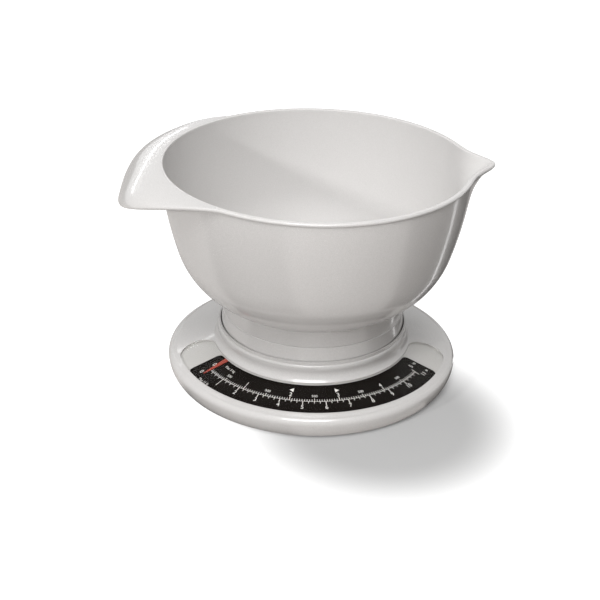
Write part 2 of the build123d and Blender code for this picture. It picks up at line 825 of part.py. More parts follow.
def toothed_rack():
    teeth = rack_teeth_points()
    back = pitch_radius + rack_back
    front_y, rear_y = teeth[0][1] - rack_end, teeth[-1][1] + rack_end
    spine = [(back, front_y)] + [(teeth[0][0], front_y)] + teeth + [(teeth[-1][0], rear_y), (back, rear_y)]
    outline = make_face(Polyline(*[(x, y, rack_z) for x, y in spine], close=True))
    rack = extrude(outline, amount=rack_height, dir=(0, 0, 1))
    slot_y = crank_pivot_y - rack_travel / 2
    slot = drive_pin_radius + drive_pin_clearance
    fork_x = (pitch_radius + gear_module * tooth_root_factor, back)
    fork_z = (rack_z - fork_floor, rack_z + rack_height + fork_rise)
    rack += block(fork_x, (rear_y - rack_side_gap, slot_y + slot + fork_wall), fork_z)
    rack -= block(fork_x, (slot_y - slot, slot_y + slot), (rack_z, rack_z + 2 * rack_height))
    return rack


def rack_guide():
    back = pitch_radius + rack_back + guide_clearance
    y = (-guide_front, rack_teeth_points()[-1][1] - rack_end)
    floor = block((pitch_radius + rack_side_gap, back + guide_wall), y, (base_top, rack_z - guide_clearance))
    wall = block((back, back + guide_wall), y, (base_top, rack_z + 0.8 * rack_height))
    return floor + wall


def pinion_gear():
    """Involute spur pinion with a gap facing the rack at no load."""
    base = pitch_radius * math.cos(math.radians(pressure_angle))
    tip = pitch_radius + gear_module * tooth_height_factor
    root = pitch_radius - gear_module * tooth_root_factor

    def involute(radius):
        turn = math.acos(min(1.0, base / radius))
        return math.tan(turn) - turn
    half_pitch = math.pi / 2 / pinion_teeth - tooth_backlash / 2 / pitch_radius
    flank = [(radius, half_pitch + involute(pitch_radius) - involute(radius))
             for radius in (base, (base + pitch_radius) / 2, pitch_radius, (pitch_radius + tip) / 2, tip)]
    flank = [(root, flank[0][1])] + flank
    points = []
    for tooth in range(pinion_teeth):
        middle = 2 * math.pi * (tooth + 0.5) / pinion_teeth
        side = [(radius, middle - turn) for radius, turn in flank]
        side += [(radius, middle + turn) for radius, turn in reversed(flank)]
        points += [polar(radius, math.degrees(turn), pinion_z) for radius, turn in side]
    gear = extrude(make_face(Polyline(*points, close=True)), amount=pinion_height, dir=(0, 0, 1))
    return gear - post(0, 0, (pinion_z, pinion_z + pinion_height), shaft_radius)


def pointer_level():
    """Height of the level part of the pointer's arm, at its underside."""
    return cone_height(pointer_bend(), pointer_depth + pointer_thickness)


def pointer_bend():
    """Radius where the pointer's arm bends down to follow the dial."""
    return dial_inner - pointer_bend_inset


def pointer_shaft():
    low = foot_lift + bush_floor + bush_end + shaft_end_gap
    return post(0, 0, (low, pointer_level() + pointer_thickness + shaft_end), shaft_radius)


def pointer_hub():
    low = bracket_top + bush_flange_height + shaft_end_gap
    hub = post(0, 0, (low, pointer_level()), hub_radius)
    return hub - post(0, 0, (low, pointer_level()), shaft_radius)


def pointer_needle():
    """Sheet metal pointer: disc, level arm and a tapered tip bent along the dial."""
    level = pointer_level()
    tip = window_outer - pointer_tip_setback
    bend = pointer_bend()
    top = pointer_thickness
    side = [(0, level), (bend, level), (tip, cone_height(tip, pointer_depth + top)),
            (tip, cone_height(tip, pointer_depth)), (bend, level + top), (0, level + top)]
    half_root = pointer_root_width / 2
    ribbon = extrude(make_face(Polyline(*[(x, -half_root, z) for x, z in side], close=True)),
                     amount=pointer_root_width, dir=(0, 1, 0))
    plan = make_face(Polyline((0, half_root, 0), (dial_inner, half_root, 0), (tip, pointer_tip_width / 2, 0),
                              (tip, -pointer_tip_width / 2, 0), (dial_inner, -half_root, 0),
                              (0, -half_root, 0), close=True))
    needle = upright(plan) & ribbon
    needle += post(0, 0, (level, level + top), pointer_disc_radius)
    needle -= post(0, 0, (level, level + top), shaft_radius)
    return Rot(0, 0, FRONT - pointer_sweep / 2) * needle


# Zero adjuster
def zero_knob():
    floor = knob_seat + knob_clearance
    top = floor + knob_height
    knob = post(0, 0, (floor, top), knob_radius)
    grip = post(0, 0, (top - knob_grip_depth, top), knob_radius - knob_rim)
    grip -= block((-knob_radius, knob_radius), (-knob_grip_width / 2, knob_grip_width / 2), (floor, top))
    knob -= grip
    return knob - post(0, 0, (floor, floor + zero_screw_grip), zero_screw_radius)


def zero_screw():
    top = knob_seat + knob_clearance + zero_screw_grip
    ball = crank_pivot_z + full_load_travel / 2 + zero_tip_gap + zero_screw_radius
    return post(0, 0, (ball, top), zero_screw_radius) + Pos(0, 0, ball) * Sphere(zero_screw_radius)


# Bowl
def bowl_levels():
    """Centre of the belly arc, centre of the flank arc and the flank's end angle under the rim."""
    belly = (belly_offset, platform_top + belly_lift + belly_radius)
    turn = math.radians(belly_end_angle)
    reach = belly_radius - flank_radius
    flank = (belly[0] + reach * math.cos(turn), belly[1] - reach * math.sin(turn))
    under_rim = platform_top + bowl_height - rim_bead_height
    end = math.degrees(math.asin((under_rim - flank[1]) / flank_radius))
    return belly, flank, end


def rim_radius():
    """Radius of the bowl's outside just under the rim bead."""
    belly, flank, end = bowl_levels()
    return flank[0] + flank_radius * math.cos(math.radians(end))


def bowl_core(inset, top):
    """The bowl's outside, or with an inset the space inside it, as a turned solid."""
    belly, flank, end = bowl_levels()
    bend = -belly_end_angle
    low = section_arc(belly, belly_radius - inset, -90, bend)
    side = section_arc(flank, flank_radius - inset, bend, end)
    bottom = belly[1] - belly_radius + inset
    rim = side @ 1
    edge = [at(0, bottom), low @ 0]
    close = [rim, at(rim.X, top), at(0, top), at(0, bottom)]
    return lathe(Polyline(*edge), low, side, Polyline(*close))


def rim_bead():
    """Rolled lip round the mouth."""
    top = platform_top + bowl_height
    low = top - rim_bead_height
    outer = rim_radius() + rim_lip
    return lathe_points((rim_radius() - bowl_wall, low), (rim_radius() - 0.1, low), (outer, low + 1.2),
                        (outer, top - 0.8), (outer - 0.8, top), (rim_radius() - bowl_wall, top))


def foot_ring():
    """Ring that the bowl stands on, flaring a little into the belly."""
    outer = platform_radius - platform_taper
    belly, flank, end = bowl_levels()
    top = belly[1] - math.sqrt(belly_radius ** 2 - (outer + foot_ring_flare - belly[0]) ** 2)
    return lathe_points((outer - foot_ring_width, platform_top), (outer, platform_top),
                        (outer + foot_ring_flare, top), (outer - foot_ring_width, top))


def wall_radius(height):
    """Radius of the bowl's outside on its flank."""
    belly, flank, end = bowl_levels()
    return flank[0] + math.sqrt(flank_radius ** 2 - (height - flank[1]) ** 2)


def beak_plan(wall, reach, inset, height):
    """Plan of the pouring lip at one height: a round tip and two hollow arcs that run into the wall."""
    centre = wall + reach - lip_tip_radius
    wall_span, tip_span = wall + lip_blend, lip_tip_radius + lip_blend
    x = (wall_span ** 2 - tip_span ** 2 + centre ** 2) / (2 * centre)
    y = math.sqrt(wall_span ** 2 - x ** 2)
    tip, hollow = lip_tip_radius - inset, lip_blend + inset
    towards_tip = math.atan2(-y, centre - x)
    towards_wall = math.atan2(-y, -x)
    middle = (towards_tip + towards_wall) / 2

    def pair(turn):
        spot = (x + hollow * math.cos(turn), y + hollow * math.sin(turn))
        return (*spot, height), (spot[0], -spot[1], height)
    start, dip, end = pair(towards_tip), pair(middle), pair(towards_wall)
    back = end[0][0] / 2
    return make_face([
        ThreePointArc(start[1], (centre + tip, 0, height), start[0]),
        ThreePointArc(start[0], dip[0], end[0]),
        Polyline(end[0], (back, end[0][1], height), (back, end[1][1], height), end[1]),
        ThreePointArc(end[1], dip[1], start[1]),
    ])


def lip_body(inset, top):
    """Pouring lip: a blunt beak at the rim that fades into the wall below."""
    low = platform_top + bowl_height - lip_depth
    upper = beak_plan(rim_radius() + rim_lip, lip_reach, inset, top)
    lower = beak_plan(wall_radius(low), lip_fade, inset, low)
    return loft([lower, upper])


def handle_plan():
    """Plan outline of the handle, on the side away from the lip."""
    rim = rim_radius() + rim_lip
    corner = rim + handle_corner_reach
    turn = 180 - handle_corner_angle
    root = polar(rim - 1, 180 - handle_root_angle)
    tip = polar(corner, turn)
    bulge = polar(rim + handle_bulge * handle_corner_reach, 180 - handle_bulge_angle)
    mirror = [(x, -y, z) for x, y, z in (root, bulge, tip)]
    outline = make_face([
        ThreePointArc(root, bulge, tip),
        ThreePointArc(tip, (-(rim + handle_reach), 0, 0), mirror[2]),
        ThreePointArc(mirror[2], mirror[1], mirror[0]),
        Line(mirror[0], root),
    ])
    corners = outline.vertices().sort_by(Axis.X)[:2]
    return fillet(corners, handle_corner_rounding)


def handle_brim():
    """Handle: part of a drooping brim, cut to its plan outline."""
    top = platform_top + bowl_height - handle_tuck
    near = rim_radius() - bowl_wall
    far = rim_radius() + rim_lip + handle_corner_reach

    def curl(drop):
        def spot(radius):
            return at(radius, top - drop - handle_curl + math.sqrt(handle_curl ** 2 - (radius - near) ** 2))
        return ThreePointArc(spot(near), spot((near + far) / 2), spot(far))
    upper, lower = curl(0), curl(handle_thickness)
    brim = lathe(upper, Line(upper @ 1, lower @ 1), lower, Line(lower @ 0, upper @ 0))
    brim &= extrude(handle_plan(), amount=platform_top + bowl_height)
    upper_face = max(brim.faces(), key=lambda face: face.normal_at().Z)
    return fillet([edge for edge in upper_face.edges() if edge.center().X < -rim_radius() * 0.9], handle_edge)


def mixing_bowl():
    top = platform_top + bowl_height
    bowl = bowl_core(0, top)
    bowl += rim_bead()
    bowl += lip_body(0, top)
    bowl += handle_brim()
    bowl += foot_ring()
    bowl -= bowl_core(bowl_wall, top + 1)
    bowl -= lip_body(bowl_wall, top + 0.01)
    return bowl


PIECES = {
    "base_plate": base_plate, "rubber_feet": rubber_feet, "top_housing": top_housing,
    "housing_screws": housing_screws, "window_lens": window_lens, "window_mask": window_mask,
    "dial_plate": dial_plate, "dial_screws": dial_screws, "mechanism_frame": mechanism_frame,
    "frame_screws": frame_screws, "arm_pivot_rods": arm_pivot_rods, "movement_bracket": movement_bracket,
    "bracket_screws": bracket_screws, "bearing_bushes": bearing_bushes, "crank_pivot_pin": crank_pivot_pin,
    "rack_guide": rack_guide, "main_springs": main_springs, "crank_return_spring": crank_return_spring,
    "weighing_platform": weighing_platform, "platform_carrier": platform_carrier, "carrier_pins": carrier_pins,
    "platform_screws": platform_screws, "zero_knob": zero_knob, "zero_screw": zero_screw,
    "lower_arm": lambda: parallel_arm(lower_pivot_z), "upper_arm": lambda: parallel_arm(upper_pivot_z),
    "bell_crank": bell_crank, "crank_drive_pin": crank_drive_pin, "toothed_rack": toothed_rack,
    "pointer_shaft": pointer_shaft, "pinion_gear": pinion_gear, "pointer_hub": pointer_hub,
    "pointer_needle": pointer_needle, "mixing_bowl": mixing_bowl,
}

for name, make in PIECES.items():
    export_step(make(), f"parts/{name}.step")
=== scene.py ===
"""Dresses a mechanical kitchen scale: pearl mixing bowl, printed dial under a clear window, plain studio."""
import json
import math

import bpy
from bpy.props import FloatProperty, FloatVectorProperty, IntProperty, PointerProperty
from mathutils import Matrix, Vector


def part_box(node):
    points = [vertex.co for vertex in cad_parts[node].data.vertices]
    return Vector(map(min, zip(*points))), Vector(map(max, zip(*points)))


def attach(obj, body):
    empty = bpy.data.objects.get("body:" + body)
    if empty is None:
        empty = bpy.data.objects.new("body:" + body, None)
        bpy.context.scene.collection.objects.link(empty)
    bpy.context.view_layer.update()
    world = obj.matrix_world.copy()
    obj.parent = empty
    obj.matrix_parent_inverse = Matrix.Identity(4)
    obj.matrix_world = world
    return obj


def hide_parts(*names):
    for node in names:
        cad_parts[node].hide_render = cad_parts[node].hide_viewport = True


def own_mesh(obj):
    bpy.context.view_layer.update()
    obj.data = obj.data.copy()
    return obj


bl_info = {
    "name": "Kitchen Scale",
    "version": (1, 0, 0),
    "blender": (4, 5, 0),
    "location": "View3D > Sidebar > Kitchen Scale",
    "description": "Builds the bowl, the printed dial, the finishes and the studio of a kitchen scale",
    "category": "Object",
}

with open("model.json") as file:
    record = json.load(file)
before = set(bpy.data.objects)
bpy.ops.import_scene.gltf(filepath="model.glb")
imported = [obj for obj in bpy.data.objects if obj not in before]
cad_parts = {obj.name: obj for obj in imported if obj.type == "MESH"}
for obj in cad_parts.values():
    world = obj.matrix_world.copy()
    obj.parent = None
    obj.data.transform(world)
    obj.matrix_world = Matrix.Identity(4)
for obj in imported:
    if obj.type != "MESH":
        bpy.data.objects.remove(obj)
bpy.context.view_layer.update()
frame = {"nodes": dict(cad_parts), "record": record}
BOWL_LOW, BOWL_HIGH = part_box("mixing_bowl")
DIAL_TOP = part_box("dial_plate")[1].z
MM = 0.001
# Direction in which the dial faces
FRONT = math.radians(270)


# Sizes and colours that a user would change
class BowlSizes(bpy.types.PropertyGroup):
    """Sizes of the mixing bowl."""
    columns: IntProperty(name="Columns", description="Steps round the bowl", default=480, min=96)
    wall: FloatProperty(name="Wall", description="Thickness of the wall", default=2.4 * MM, unit="LENGTH")
    belly_radius: FloatProperty(
        name="Belly radius", description="Radius of the round belly's section",
        default=58.8 * MM, unit="LENGTH")
    belly_offset: FloatProperty(
        name="Belly offset", description="Belly's centre to the axis", default=34.8 * MM, unit="LENGTH")
    belly_lift: FloatProperty(
        name="Belly lift", description="Belly's lowest point over the foot",
        default=5.2 * MM, unit="LENGTH")
    belly_end: FloatProperty(
        name="Belly end", description="Angle where the belly runs into the flank",
        default=math.radians(-16.7), subtype="ANGLE")
    flank_radius: FloatProperty(
        name="Flank radius", description="Radius of the steep flank's section",
        default=257 * MM, unit="LENGTH")
    foot_radius: FloatProperty(
        name="Foot radius", description="Outer radius of the foot ring", default=61.1 * MM, unit="LENGTH")
    foot_flare: FloatProperty(
        name="Foot flare", description="How much the foot ring widens upwards",
        default=0.96 * MM, unit="LENGTH")
    foot_width: FloatProperty(
        name="Foot width", description="Width of the foot ring", default=3.1 * MM, unit="LENGTH")
    rim_height: FloatProperty(
        name="Rim height", description="Height of the rolled rim", default=3.0 * MM, unit="LENGTH")
    brim_thickness: FloatProperty(
        name="Brim thickness", description="Thickness of the rim and the handle",
        default=2.4 * MM, unit="LENGTH")
    lip_spread: FloatProperty(
        name="Lip spread", description="Half angle over which the pouring lip swells",
        default=math.radians(8.4), subtype="ANGLE")
    lip_sharpness: FloatProperty(
        name="Lip sharpness", description="Power of the lip's outline, 2 is round", default=1.8)
    lip_depth: FloatProperty(
        name="Lip depth", description="How far down the wall the lip fades out",
        default=24 * MM, unit="LENGTH")
    lip_fade: FloatProperty(name="Lip fade", description="How fast the lip fades down the wall", default=1.7)
    handle_reach: FloatProperty(
        name="Handle reach", description="How far its middle stands out from the rim",
        default=25.06 * MM, unit="LENGTH")
    handle_spread: FloatProperty(
        name="Handle spread", description="Gain of reach per radian from the middle",
        default=18 * MM, unit="LENGTH")
    straight_angle: FloatProperty(
        name="Straight angle", description="How far the edge runs almost straight",
        default=math.radians(16), subtype="ANGLE")
    flank_rate: FloatProperty(
        name="Flank rate", description="Gain of reach per radian from the root",
        default=51.6 * MM, unit="LENGTH")
    root_angle: FloatProperty(
        name="Root angle", description="Where the handle runs into the rim",
        default=math.radians(53.9), subtype="ANGLE")
    root_rounding: FloatProperty(
        name="Root rounding", description="Softness of the run into the rim",
        default=0.8 * MM, unit="LENGTH")
    corner_rounding: FloatProperty(
        name="Corner rounding", description="Softness of the handle's corners",
        default=5.66 * MM, unit="LENGTH")
    handle_drop: FloatProperty(
        name="Handle drop", description="How far the edge hangs down in the middle",
        default=24 * MM, unit="LENGTH")
    drop_fade: FloatProperty(
        name="Drop fade", description="How fast the drop fades towards the roots", default=2.04)
    handle_roll: FloatProperty(
        name="Handle roll", description="Power of the handle's section, 2 is round", default=1.7)


class SpringSizes(bpy.types.PropertyGroup):
    """Sizes of the two main springs."""
    wire: FloatProperty(name="Wire", description="Radius of the wire", default=0.7 * MM, unit="LENGTH")
    turns: IntProperty(name="Turns", description="Turns of each spring", default=6, min=2)
    travel: FloatProperty(
        name="Travel", description="How far full load presses the springs together",
        default=5 * MM, unit="LENGTH")


class DialSizes(bpy.types.PropertyGroup):
    """Sizes of the printing on the dial plate."""
    slope: FloatProperty(
        name="Cone slope", description="Fall of the dial per unit of radius", default=6.85 / 24.5)
    inner_radius: FloatProperty(
        name="Inner radius", description="Radius of the dial plate's inner edge",
        default=61.5 * MM, unit="LENGTH")
    sweep: FloatProperty(
        name="Sweep", description="Angle from zero to full load",
        default=math.radians(116.7), subtype="ANGLE")
    line_radius: FloatProperty(
        name="Line radius", description="Radius of the base line of both scales",
        default=79.8 * MM, unit="LENGTH")
    line_width: FloatProperty(
        name="Line width", description="Width of the finest printed line", default=0.34 * MM, unit="LENGTH")
    ink: FloatProperty(name="Ink", description="Thickness of the print", default=0.03 * MM, unit="LENGTH")
    fine_tick: FloatProperty(
        name="Fine tick", description="Length of the finest ticks", default=1.6 * MM, unit="LENGTH")
    half_tick: FloatProperty(
        name="Half tick", description="Length of the half kilogram ticks", default=2.3 * MM, unit="LENGTH")
    kilo_tick: FloatProperty(
        name="Kilogram tick", description="Length of the kilogram ticks", default=2.8 * MM, unit="LENGTH")
    pound_tick: FloatProperty(
        name="Pound tick", description="Length of the pound ticks", default=3.0 * MM, unit="LENGTH")
    kilo_parts: IntProperty(name="Kilogram parts", description="Fine ticks in a kilogram", default=20, min=2)
    pound_parts: IntProperty(name="Pound parts", description="Fine ticks in a pound", default=4, min=1)
    kilo_radius: FloatProperty(
        name="Kilogram radius", description="Radius of the kilogram figures",
        default=75.2 * MM, unit="LENGTH")
    half_radius: FloatProperty(
        name="Half radius", description="Radius of the half kilogram figures",
        default=75.5 * MM, unit="LENGTH")
    pound_radius: FloatProperty(
        name="Pound radius", description="Radius of the pound figures", default=84.7 * MM, unit="LENGTH")
    figure_size: FloatProperty(
        name="Figure size", description="Type size of the main figures", default=4.3 * MM, unit="LENGTH")
    small_size: FloatProperty(
        name="Small size", description="Type size of the small figures", default=2.6 * MM, unit="LENGTH")
    pounds_per_kilo: FloatProperty(
        name="Pounds per kilogram", description="Ratio of the two scales", default=2.2046)
    full_load: IntProperty(name="Full load", description="Largest whole kilogram on the dial", default=5)
    end_shift: FloatProperty(
        name="End shift", description="How far the end figures are set outwards",
        default=math.radians(2.2), subtype="ANGLE")
    kilo_sign_shift: FloatProperty(
        name="Kilogram sign", description="Unit sign's angle past the last figure",
        default=math.radians(3.4), subtype="ANGLE")
    pound_sign_shift: FloatProperty(
        name="Pound sign", description="Unit sign's angle past the last figure",
        default=math.radians(3.2), subtype="ANGLE")
    kilo_note_radius: FloatProperty(
        name="Kilogram note radius", description="Radius of the inner load note",
        default=71 * MM, unit="LENGTH")
    kilo_note_angle: FloatProperty(
        name="Kilogram note angle", description="Inner note off the middle",
        default=math.radians(50.5), subtype="ANGLE")
    pound_note_radius: FloatProperty(
        name="Pound note radius", description="Radius of the outer load note",
        default=89 * MM, unit="LENGTH")
    pound_note_angle: FloatProperty(
        name="Pound note angle", description="Outer note from the dial's middle",
        default=math.radians(54), subtype="ANGLE")
    arrow_radius: FloatProperty(
        name="Arrow radius", description="Radius of the two arrowheads", default=71.4 * MM, unit="LENGTH")
    arrow_angle: FloatProperty(
        name="Arrow angle", description="Arrowheads' angle from the dial's middle",
        default=math.radians(11.4), subtype="ANGLE")
    arrow_size: FloatProperty(
        name="Arrow size", description="Length of an arrowhead", default=2.8 * MM, unit="LENGTH")


class Finishes(bpy.types.PropertyGroup):
    """Colours of the finishes."""
    pearl: FloatVectorProperty(
        name="Pearl plastic", description="Bowl, housing, platform and mask",
        default=(0.405, 0.393, 0.385), size=3, subtype="COLOR", min=0, max=1)
    flake: FloatVectorProperty(
        name="Pearl flake", description="Pale flake in the pearl plastic",
        default=(0.78, 0.77, 0.76), size=3, subtype="COLOR", min=0, max=1)
    satin_grey: FloatVectorProperty(
        name="Satin grey", description="Base plate and zero knob",
        default=(0.30, 0.297, 0.295), size=3, subtype="COLOR", min=0, max=1)
    dial_black: FloatVectorProperty(
        name="Dial black", description="Ground of the dial",
        default=(0.005, 0.004, 0.0035), size=3, subtype="COLOR", min=0, max=1)
    print_white: FloatVectorProperty(
        name="Print white", description="Marks and figures of the dial",
        default=(0.80, 0.79, 0.77), size=3, subtype="COLOR", min=0, max=1)
    pointer_red: FloatVectorProperty(
        name="Pointer red", description="Paint of the pointer",
        default=(0.33, 0.035, 0.016), size=3, subtype="COLOR", min=0, max=1)
    zinc: FloatVectorProperty(
        name="Zinc", description="Plated steel of the mechanism",
        default=(0.62, 0.63, 0.65), size=3, subtype="COLOR", min=0, max=1)
    brass: FloatVectorProperty(
        name="Brass", description="Bushes, pinion and hub",
        default=(0.78, 0.58, 0.26), size=3, subtype="COLOR", min=0, max=1)
    acetal: FloatVectorProperty(
        name="White plastic", description="Rack and its guide",
        default=(0.82, 0.81, 0.77), size=3, subtype="COLOR", min=0, max=1)
    rubber: FloatVectorProperty(
        name="Rubber", description="Foot pads",
        default=(0.03, 0.03, 0.031), size=3, subtype="COLOR", min=0, max=1)


class StageSettings(bpy.types.PropertyGroup):
    """Camera and light."""
    distance: FloatProperty(
        name="Distance", description="Camera to the aim point", default=0.85, unit="LENGTH")
    aim_height: FloatProperty(
        name="Aim height", description="Height of the aim point", default=0.07, unit="LENGTH")
    azimuth: FloatProperty(
        name="Azimuth", description="Turn of the camera round the scale",
        default=math.radians(2.2), subtype="ANGLE")
    elevation: FloatProperty(
        name="Elevation", description="Height of the camera over the horizon",
        default=0.459, subtype="ANGLE")
    roll: FloatProperty(
        name="Roll", description="Tilt of the camera about its view", default=0.029, subtype="ANGLE")
    lens: FloatProperty(name="Lens", description="Focal length on a 36 mm sensor", default=75.66)
    shift_x: FloatProperty(name="Shift across", description="Share of the frame's width", default=-0.0227)
    shift_y: FloatProperty(name="Shift up", description="Share of the frame's height", default=-0.047)
    room_light: FloatProperty(name="Room light", description="Even light from all round", default=0.27)
    top_power: FloatProperty(
        name="Top light", description="Large soft lamp above and behind on the left",
        default=6.0, unit="POWER")
    key_power: FloatProperty(
        name="Key light", description="Small lamp in front on the left", default=8.8, unit="POWER")
    front_power: FloatProperty(
        name="Front light", description="Soft lamp in front beside the camera", default=2.9, unit="POWER")
    bowl_power: FloatProperty(
        name="Bowl light", description="Soft lamp above that lights the bowl's inside",
        default=15.2, unit="POWER")
    strip_power: FloatProperty(
        name="Strip light", description="Narrow lamp that draws a line on the handle",
        default=0.045, unit="POWER")
    floor_size: FloatProperty(name="Floor size", description="Side of the floor", default=12, unit="LENGTH")
    # Painted shadow on the floor: the floor's glow for the eye is dimmed round this point, so the floor looks
    # shaded there
    shadow_middle: FloatVectorProperty(
        name="Shadow middle", description="Where the floor keeps its shadow",
        default=(0.045, -0.075, 0.0), size=3, subtype="TRANSLATION")
    shadow_core: FloatProperty(
        name="Shadow core", description="Radius of the full shadow", default=0.05, unit="LENGTH")
    shadow_edge: FloatProperty(
        name="Shadow edge", description="Radius at which the floor is white", default=0.115, unit="LENGTH")
    shadow_lift: FloatProperty(
        name="Shadow lift", description="Light that is left in the shadow", default=0.13, min=0, max=1)
    # Painted reflection: the floor's dark wedges and glowing streak, seen only in reflections
    wedge_point: FloatVectorProperty(
        name="Wedge point", description="Where the floor's mirrored wedges meet",
        default=(0.022, -0.033, 0.0), size=3, subtype="TRANSLATION")
    streak_glow: FloatProperty(name="Streak glow", description="Brightness of the streak", default=2.2)


# Node maths
class Wire:
    """One value in a shader. Arithmetic on it adds Math nodes."""

    def __init__(self, shop, socket):
        self.shop = shop
        self.socket = socket

    def __add__(self, other):
        return self.shop.math("ADD", self, other)

    def __radd__(self, other):
        return self.shop.math("ADD", other, self)

    def __sub__(self, other):
        return self.shop.math("SUBTRACT", self, other)

    def __rsub__(self, other):
        return self.shop.math("SUBTRACT", other, self)

    def __mul__(self, other):
        return self.shop.math("MULTIPLY", self, other)

    def __rmul__(self, other):
        return self.shop.math("MULTIPLY", other, self)

    def __pow__(self, other):
        return self.shop.math("POWER", self, other)


class NodeShop:
    """Builds the nodes of one material or world."""

    def __init__(self, tree):
        self.tree = tree
        tree.nodes.clear()

    def add(self, kind, settings=None, sockets=None, output=0):
        """Add a node with its settings first, then the values or links of its sockets."""
        node = self.tree.nodes.new(kind)
        for key, value in (settings or {}).items():
            setattr(node, key, value)
        for key, value in (sockets or {}).items():
            socket = node.inputs[key]
            if isinstance(value, Wire):
                self.tree.links.new(value.socket, socket)
            else:
                socket.default_value = value
        return Wire(self, node.outputs[output]) if node.outputs else None

    def math(self, operation, *values):
        """Work on numbers."""
        return self.add("ShaderNodeMath", {"operation": operation}, dict(enumerate(values)))

    def vector(self, operation, *values, output="Vector"):
        """Work on vectors."""
        return self.add("ShaderNodeVectorMath", {"operation": operation}, dict(enumerate(values)), output)

    def ease(self, value, start, end, first=0.0, last=1.0):
        """Run smoothly from the first result to the last while a value goes from start to end."""
        return self.add("ShaderNodeMapRange", {"interpolation_type": "SMOOTHSTEP"},
                        {"Value": value, "From Min": start, "From Max": end, "To Min": first, "To Max": last})

    def coordinates(self, output="Object"):
        """The piece's own coordinates, or another output of the same node."""
        return self.add("ShaderNodeTexCoord", output=output)

    def noise(self, scale, detail=2.0, stretch=None):
        """Soft noise in the piece's own coordinates."""
        place = self.coordinates()
        if stretch:
            place = self.add("ShaderNodeMapping", {}, {"Vector": place, "Scale": stretch})
        return self.add("ShaderNodeTexNoise", {}, {"Vector": place, "Scale": scale, "Detail": detail}, "Fac")

    def facing_axis(self):
        """One where a surface of revolution faces its axis or up, zero on its outside."""
        out = self.vector("MULTIPLY", self.coordinates(), (1.0, 1.0, 0.0))
        outward = self.vector("DOT_PRODUCT", out, self.coordinates("Normal"), output="Value")
        return self.math("LESS_THAN", outward, 0.5 * MM)

    def blend(self, share, first, second):
        """Mix two colours."""
        first, second = (value if isinstance(value, Wire) else (*value, 1.0) for value in (first, second))
        return self.add("ShaderNodeMix", {"data_type": "RGBA"}, {0: share, 6: first, 7: second}, 2)

    def bump(self, height, distance, strength):
        """Normal of a fine relief."""
        return self.add("ShaderNodeBump", {}, {"Strength": strength, "Distance": distance, "Height": height})

    def surface(self, **sockets):
        """A Principled surface; underscores stand for the spaces in the socket names."""
        names = {name.replace("_", " "): value for name, value in sockets.items()}
        return self.add("ShaderNodeBsdfPrincipled", {}, names)

    def seen_by(self, ray):
        """One for rays of a kind, zero for all others."""
        return self.add("ShaderNodeLightPath", output=f"Is {ray} Ray")

    def close(self, shader):
        """End the material with its shader."""
        self.add("ShaderNodeOutputMaterial", {}, {"Surface": shader})


def material_shop(name):
    """A new empty material and the shop that fills it."""
    material = bpy.data.materials.new(name)
    material.use_nodes = True
    return material, NodeShop(material.node_tree)


def tint(colour, factor):
    """A colour made lighter or darker."""
    return tuple(min(1.0, channel * factor) for channel in colour)


# Finishes
def pearl_plastic(colour, pale, satin_and_painted_light_inside=False):
    """Moulded silver-grey plastic with a fine pearl flake, glossy, or satin where it faces the axis; there
    its colour is also painted lighter, painted light for the bowl's inside.
    """
    material, shop = material_shop("pearl_plastic")
    flake = shop.noise(2600.0, detail=1.0)
    cloud = shop.noise(26.0, detail=3.0)
    base = shop.blend(cloud, tint(colour, 0.975), tint(colour, 1.025))
    base = shop.blend(flake, base, shop.blend(0.5, base, pale))
    satin_and_painted_light = 0.0
    if satin_and_painted_light_inside:
        satin_and_painted_light = shop.facing_axis()
        # Painted light: the inside is blended towards the pale flake so that it looks more brightly lit
        base = shop.blend(0.16 * satin_and_painted_light, base, pale)
    rough = 0.2 + 0.06 * cloud + 0.05 * flake + 0.3 * satin_and_painted_light
    normal = shop.bump(shop.noise(900.0, detail=2.0), distance=0.02 * MM, strength=0.35)
    shop.close(shop.surface(Base_Color=base, Roughness=rough, Normal=normal, Coat_Weight=0.5 - 0.5 * satin_and_painted_light,
                            Coat_Roughness=0.06))
    return material


def satin_plastic(colour):
    """Darker grey plastic with a fine spark-eroded grain."""
    material, shop = material_shop("satin_grey_plastic")
    grain = shop.noise(1500.0, detail=3.0)
    cloud = shop.noise(18.0)
    base = shop.blend(cloud, tint(colour, 0.93), tint(colour, 1.07))
    normal = shop.bump(grain, distance=0.05 * MM, strength=0.6)
    shop.close(shop.surface(Base_Color=base, Roughness=0.45 + 0.15 * grain, Normal=normal))
    return material


def clear_window():
    """Polished clear plastic: see-through, with a reflection that grows at grazing angles."""
    material, shop = material_shop("clear_window_plastic")
    haze = shop.noise(40.0, detail=2.0)
    facing = shop.add("ShaderNodeLayerWeight", {}, {"Blend": 0.5}, "Facing")
    fresnel = 0.002 + 0.35 * facing ** 5.0
    gloss = shop.surface(Base_Color=(0.9, 0.9, 0.9, 1), Roughness=0.04 + 0.05 * haze, Metallic=1.0)
    clear = shop.add("ShaderNodeBsdfTransparent", {}, {"Color": (0.985, 0.985, 0.98, 1)})
    shop.close(shop.add("ShaderNodeMixShader", {}, {0: fresnel, 1: clear, 2: gloss}))
    return material


def dial_ground(colour):
    """Black lacquer on the dial plate, faintly grained."""
    material, shop = material_shop("dial_black_lacquer")
    grain = shop.noise(1200.0, detail=3.0)
    base = shop.blend(grain, colour, tint(colour, 1.8))
    shop.close(shop.surface(Base_Color=base, Roughness=0.5 + 0.2 * grain, Specular_IOR_Level=0.05))
    return material


def print_ink(colour):
    """Screen-printed white ink with slightly uneven cover."""
    material, shop = material_shop("dial_print_white")
    cover = shop.noise(1800.0, detail=2.0)
    base = shop.blend(cover, tint(colour, 0.86), tint(colour, 1.06))
    shop.close(shop.surface(Base_Color=base, Roughness=0.55 + 0.15 * cover))
    return material


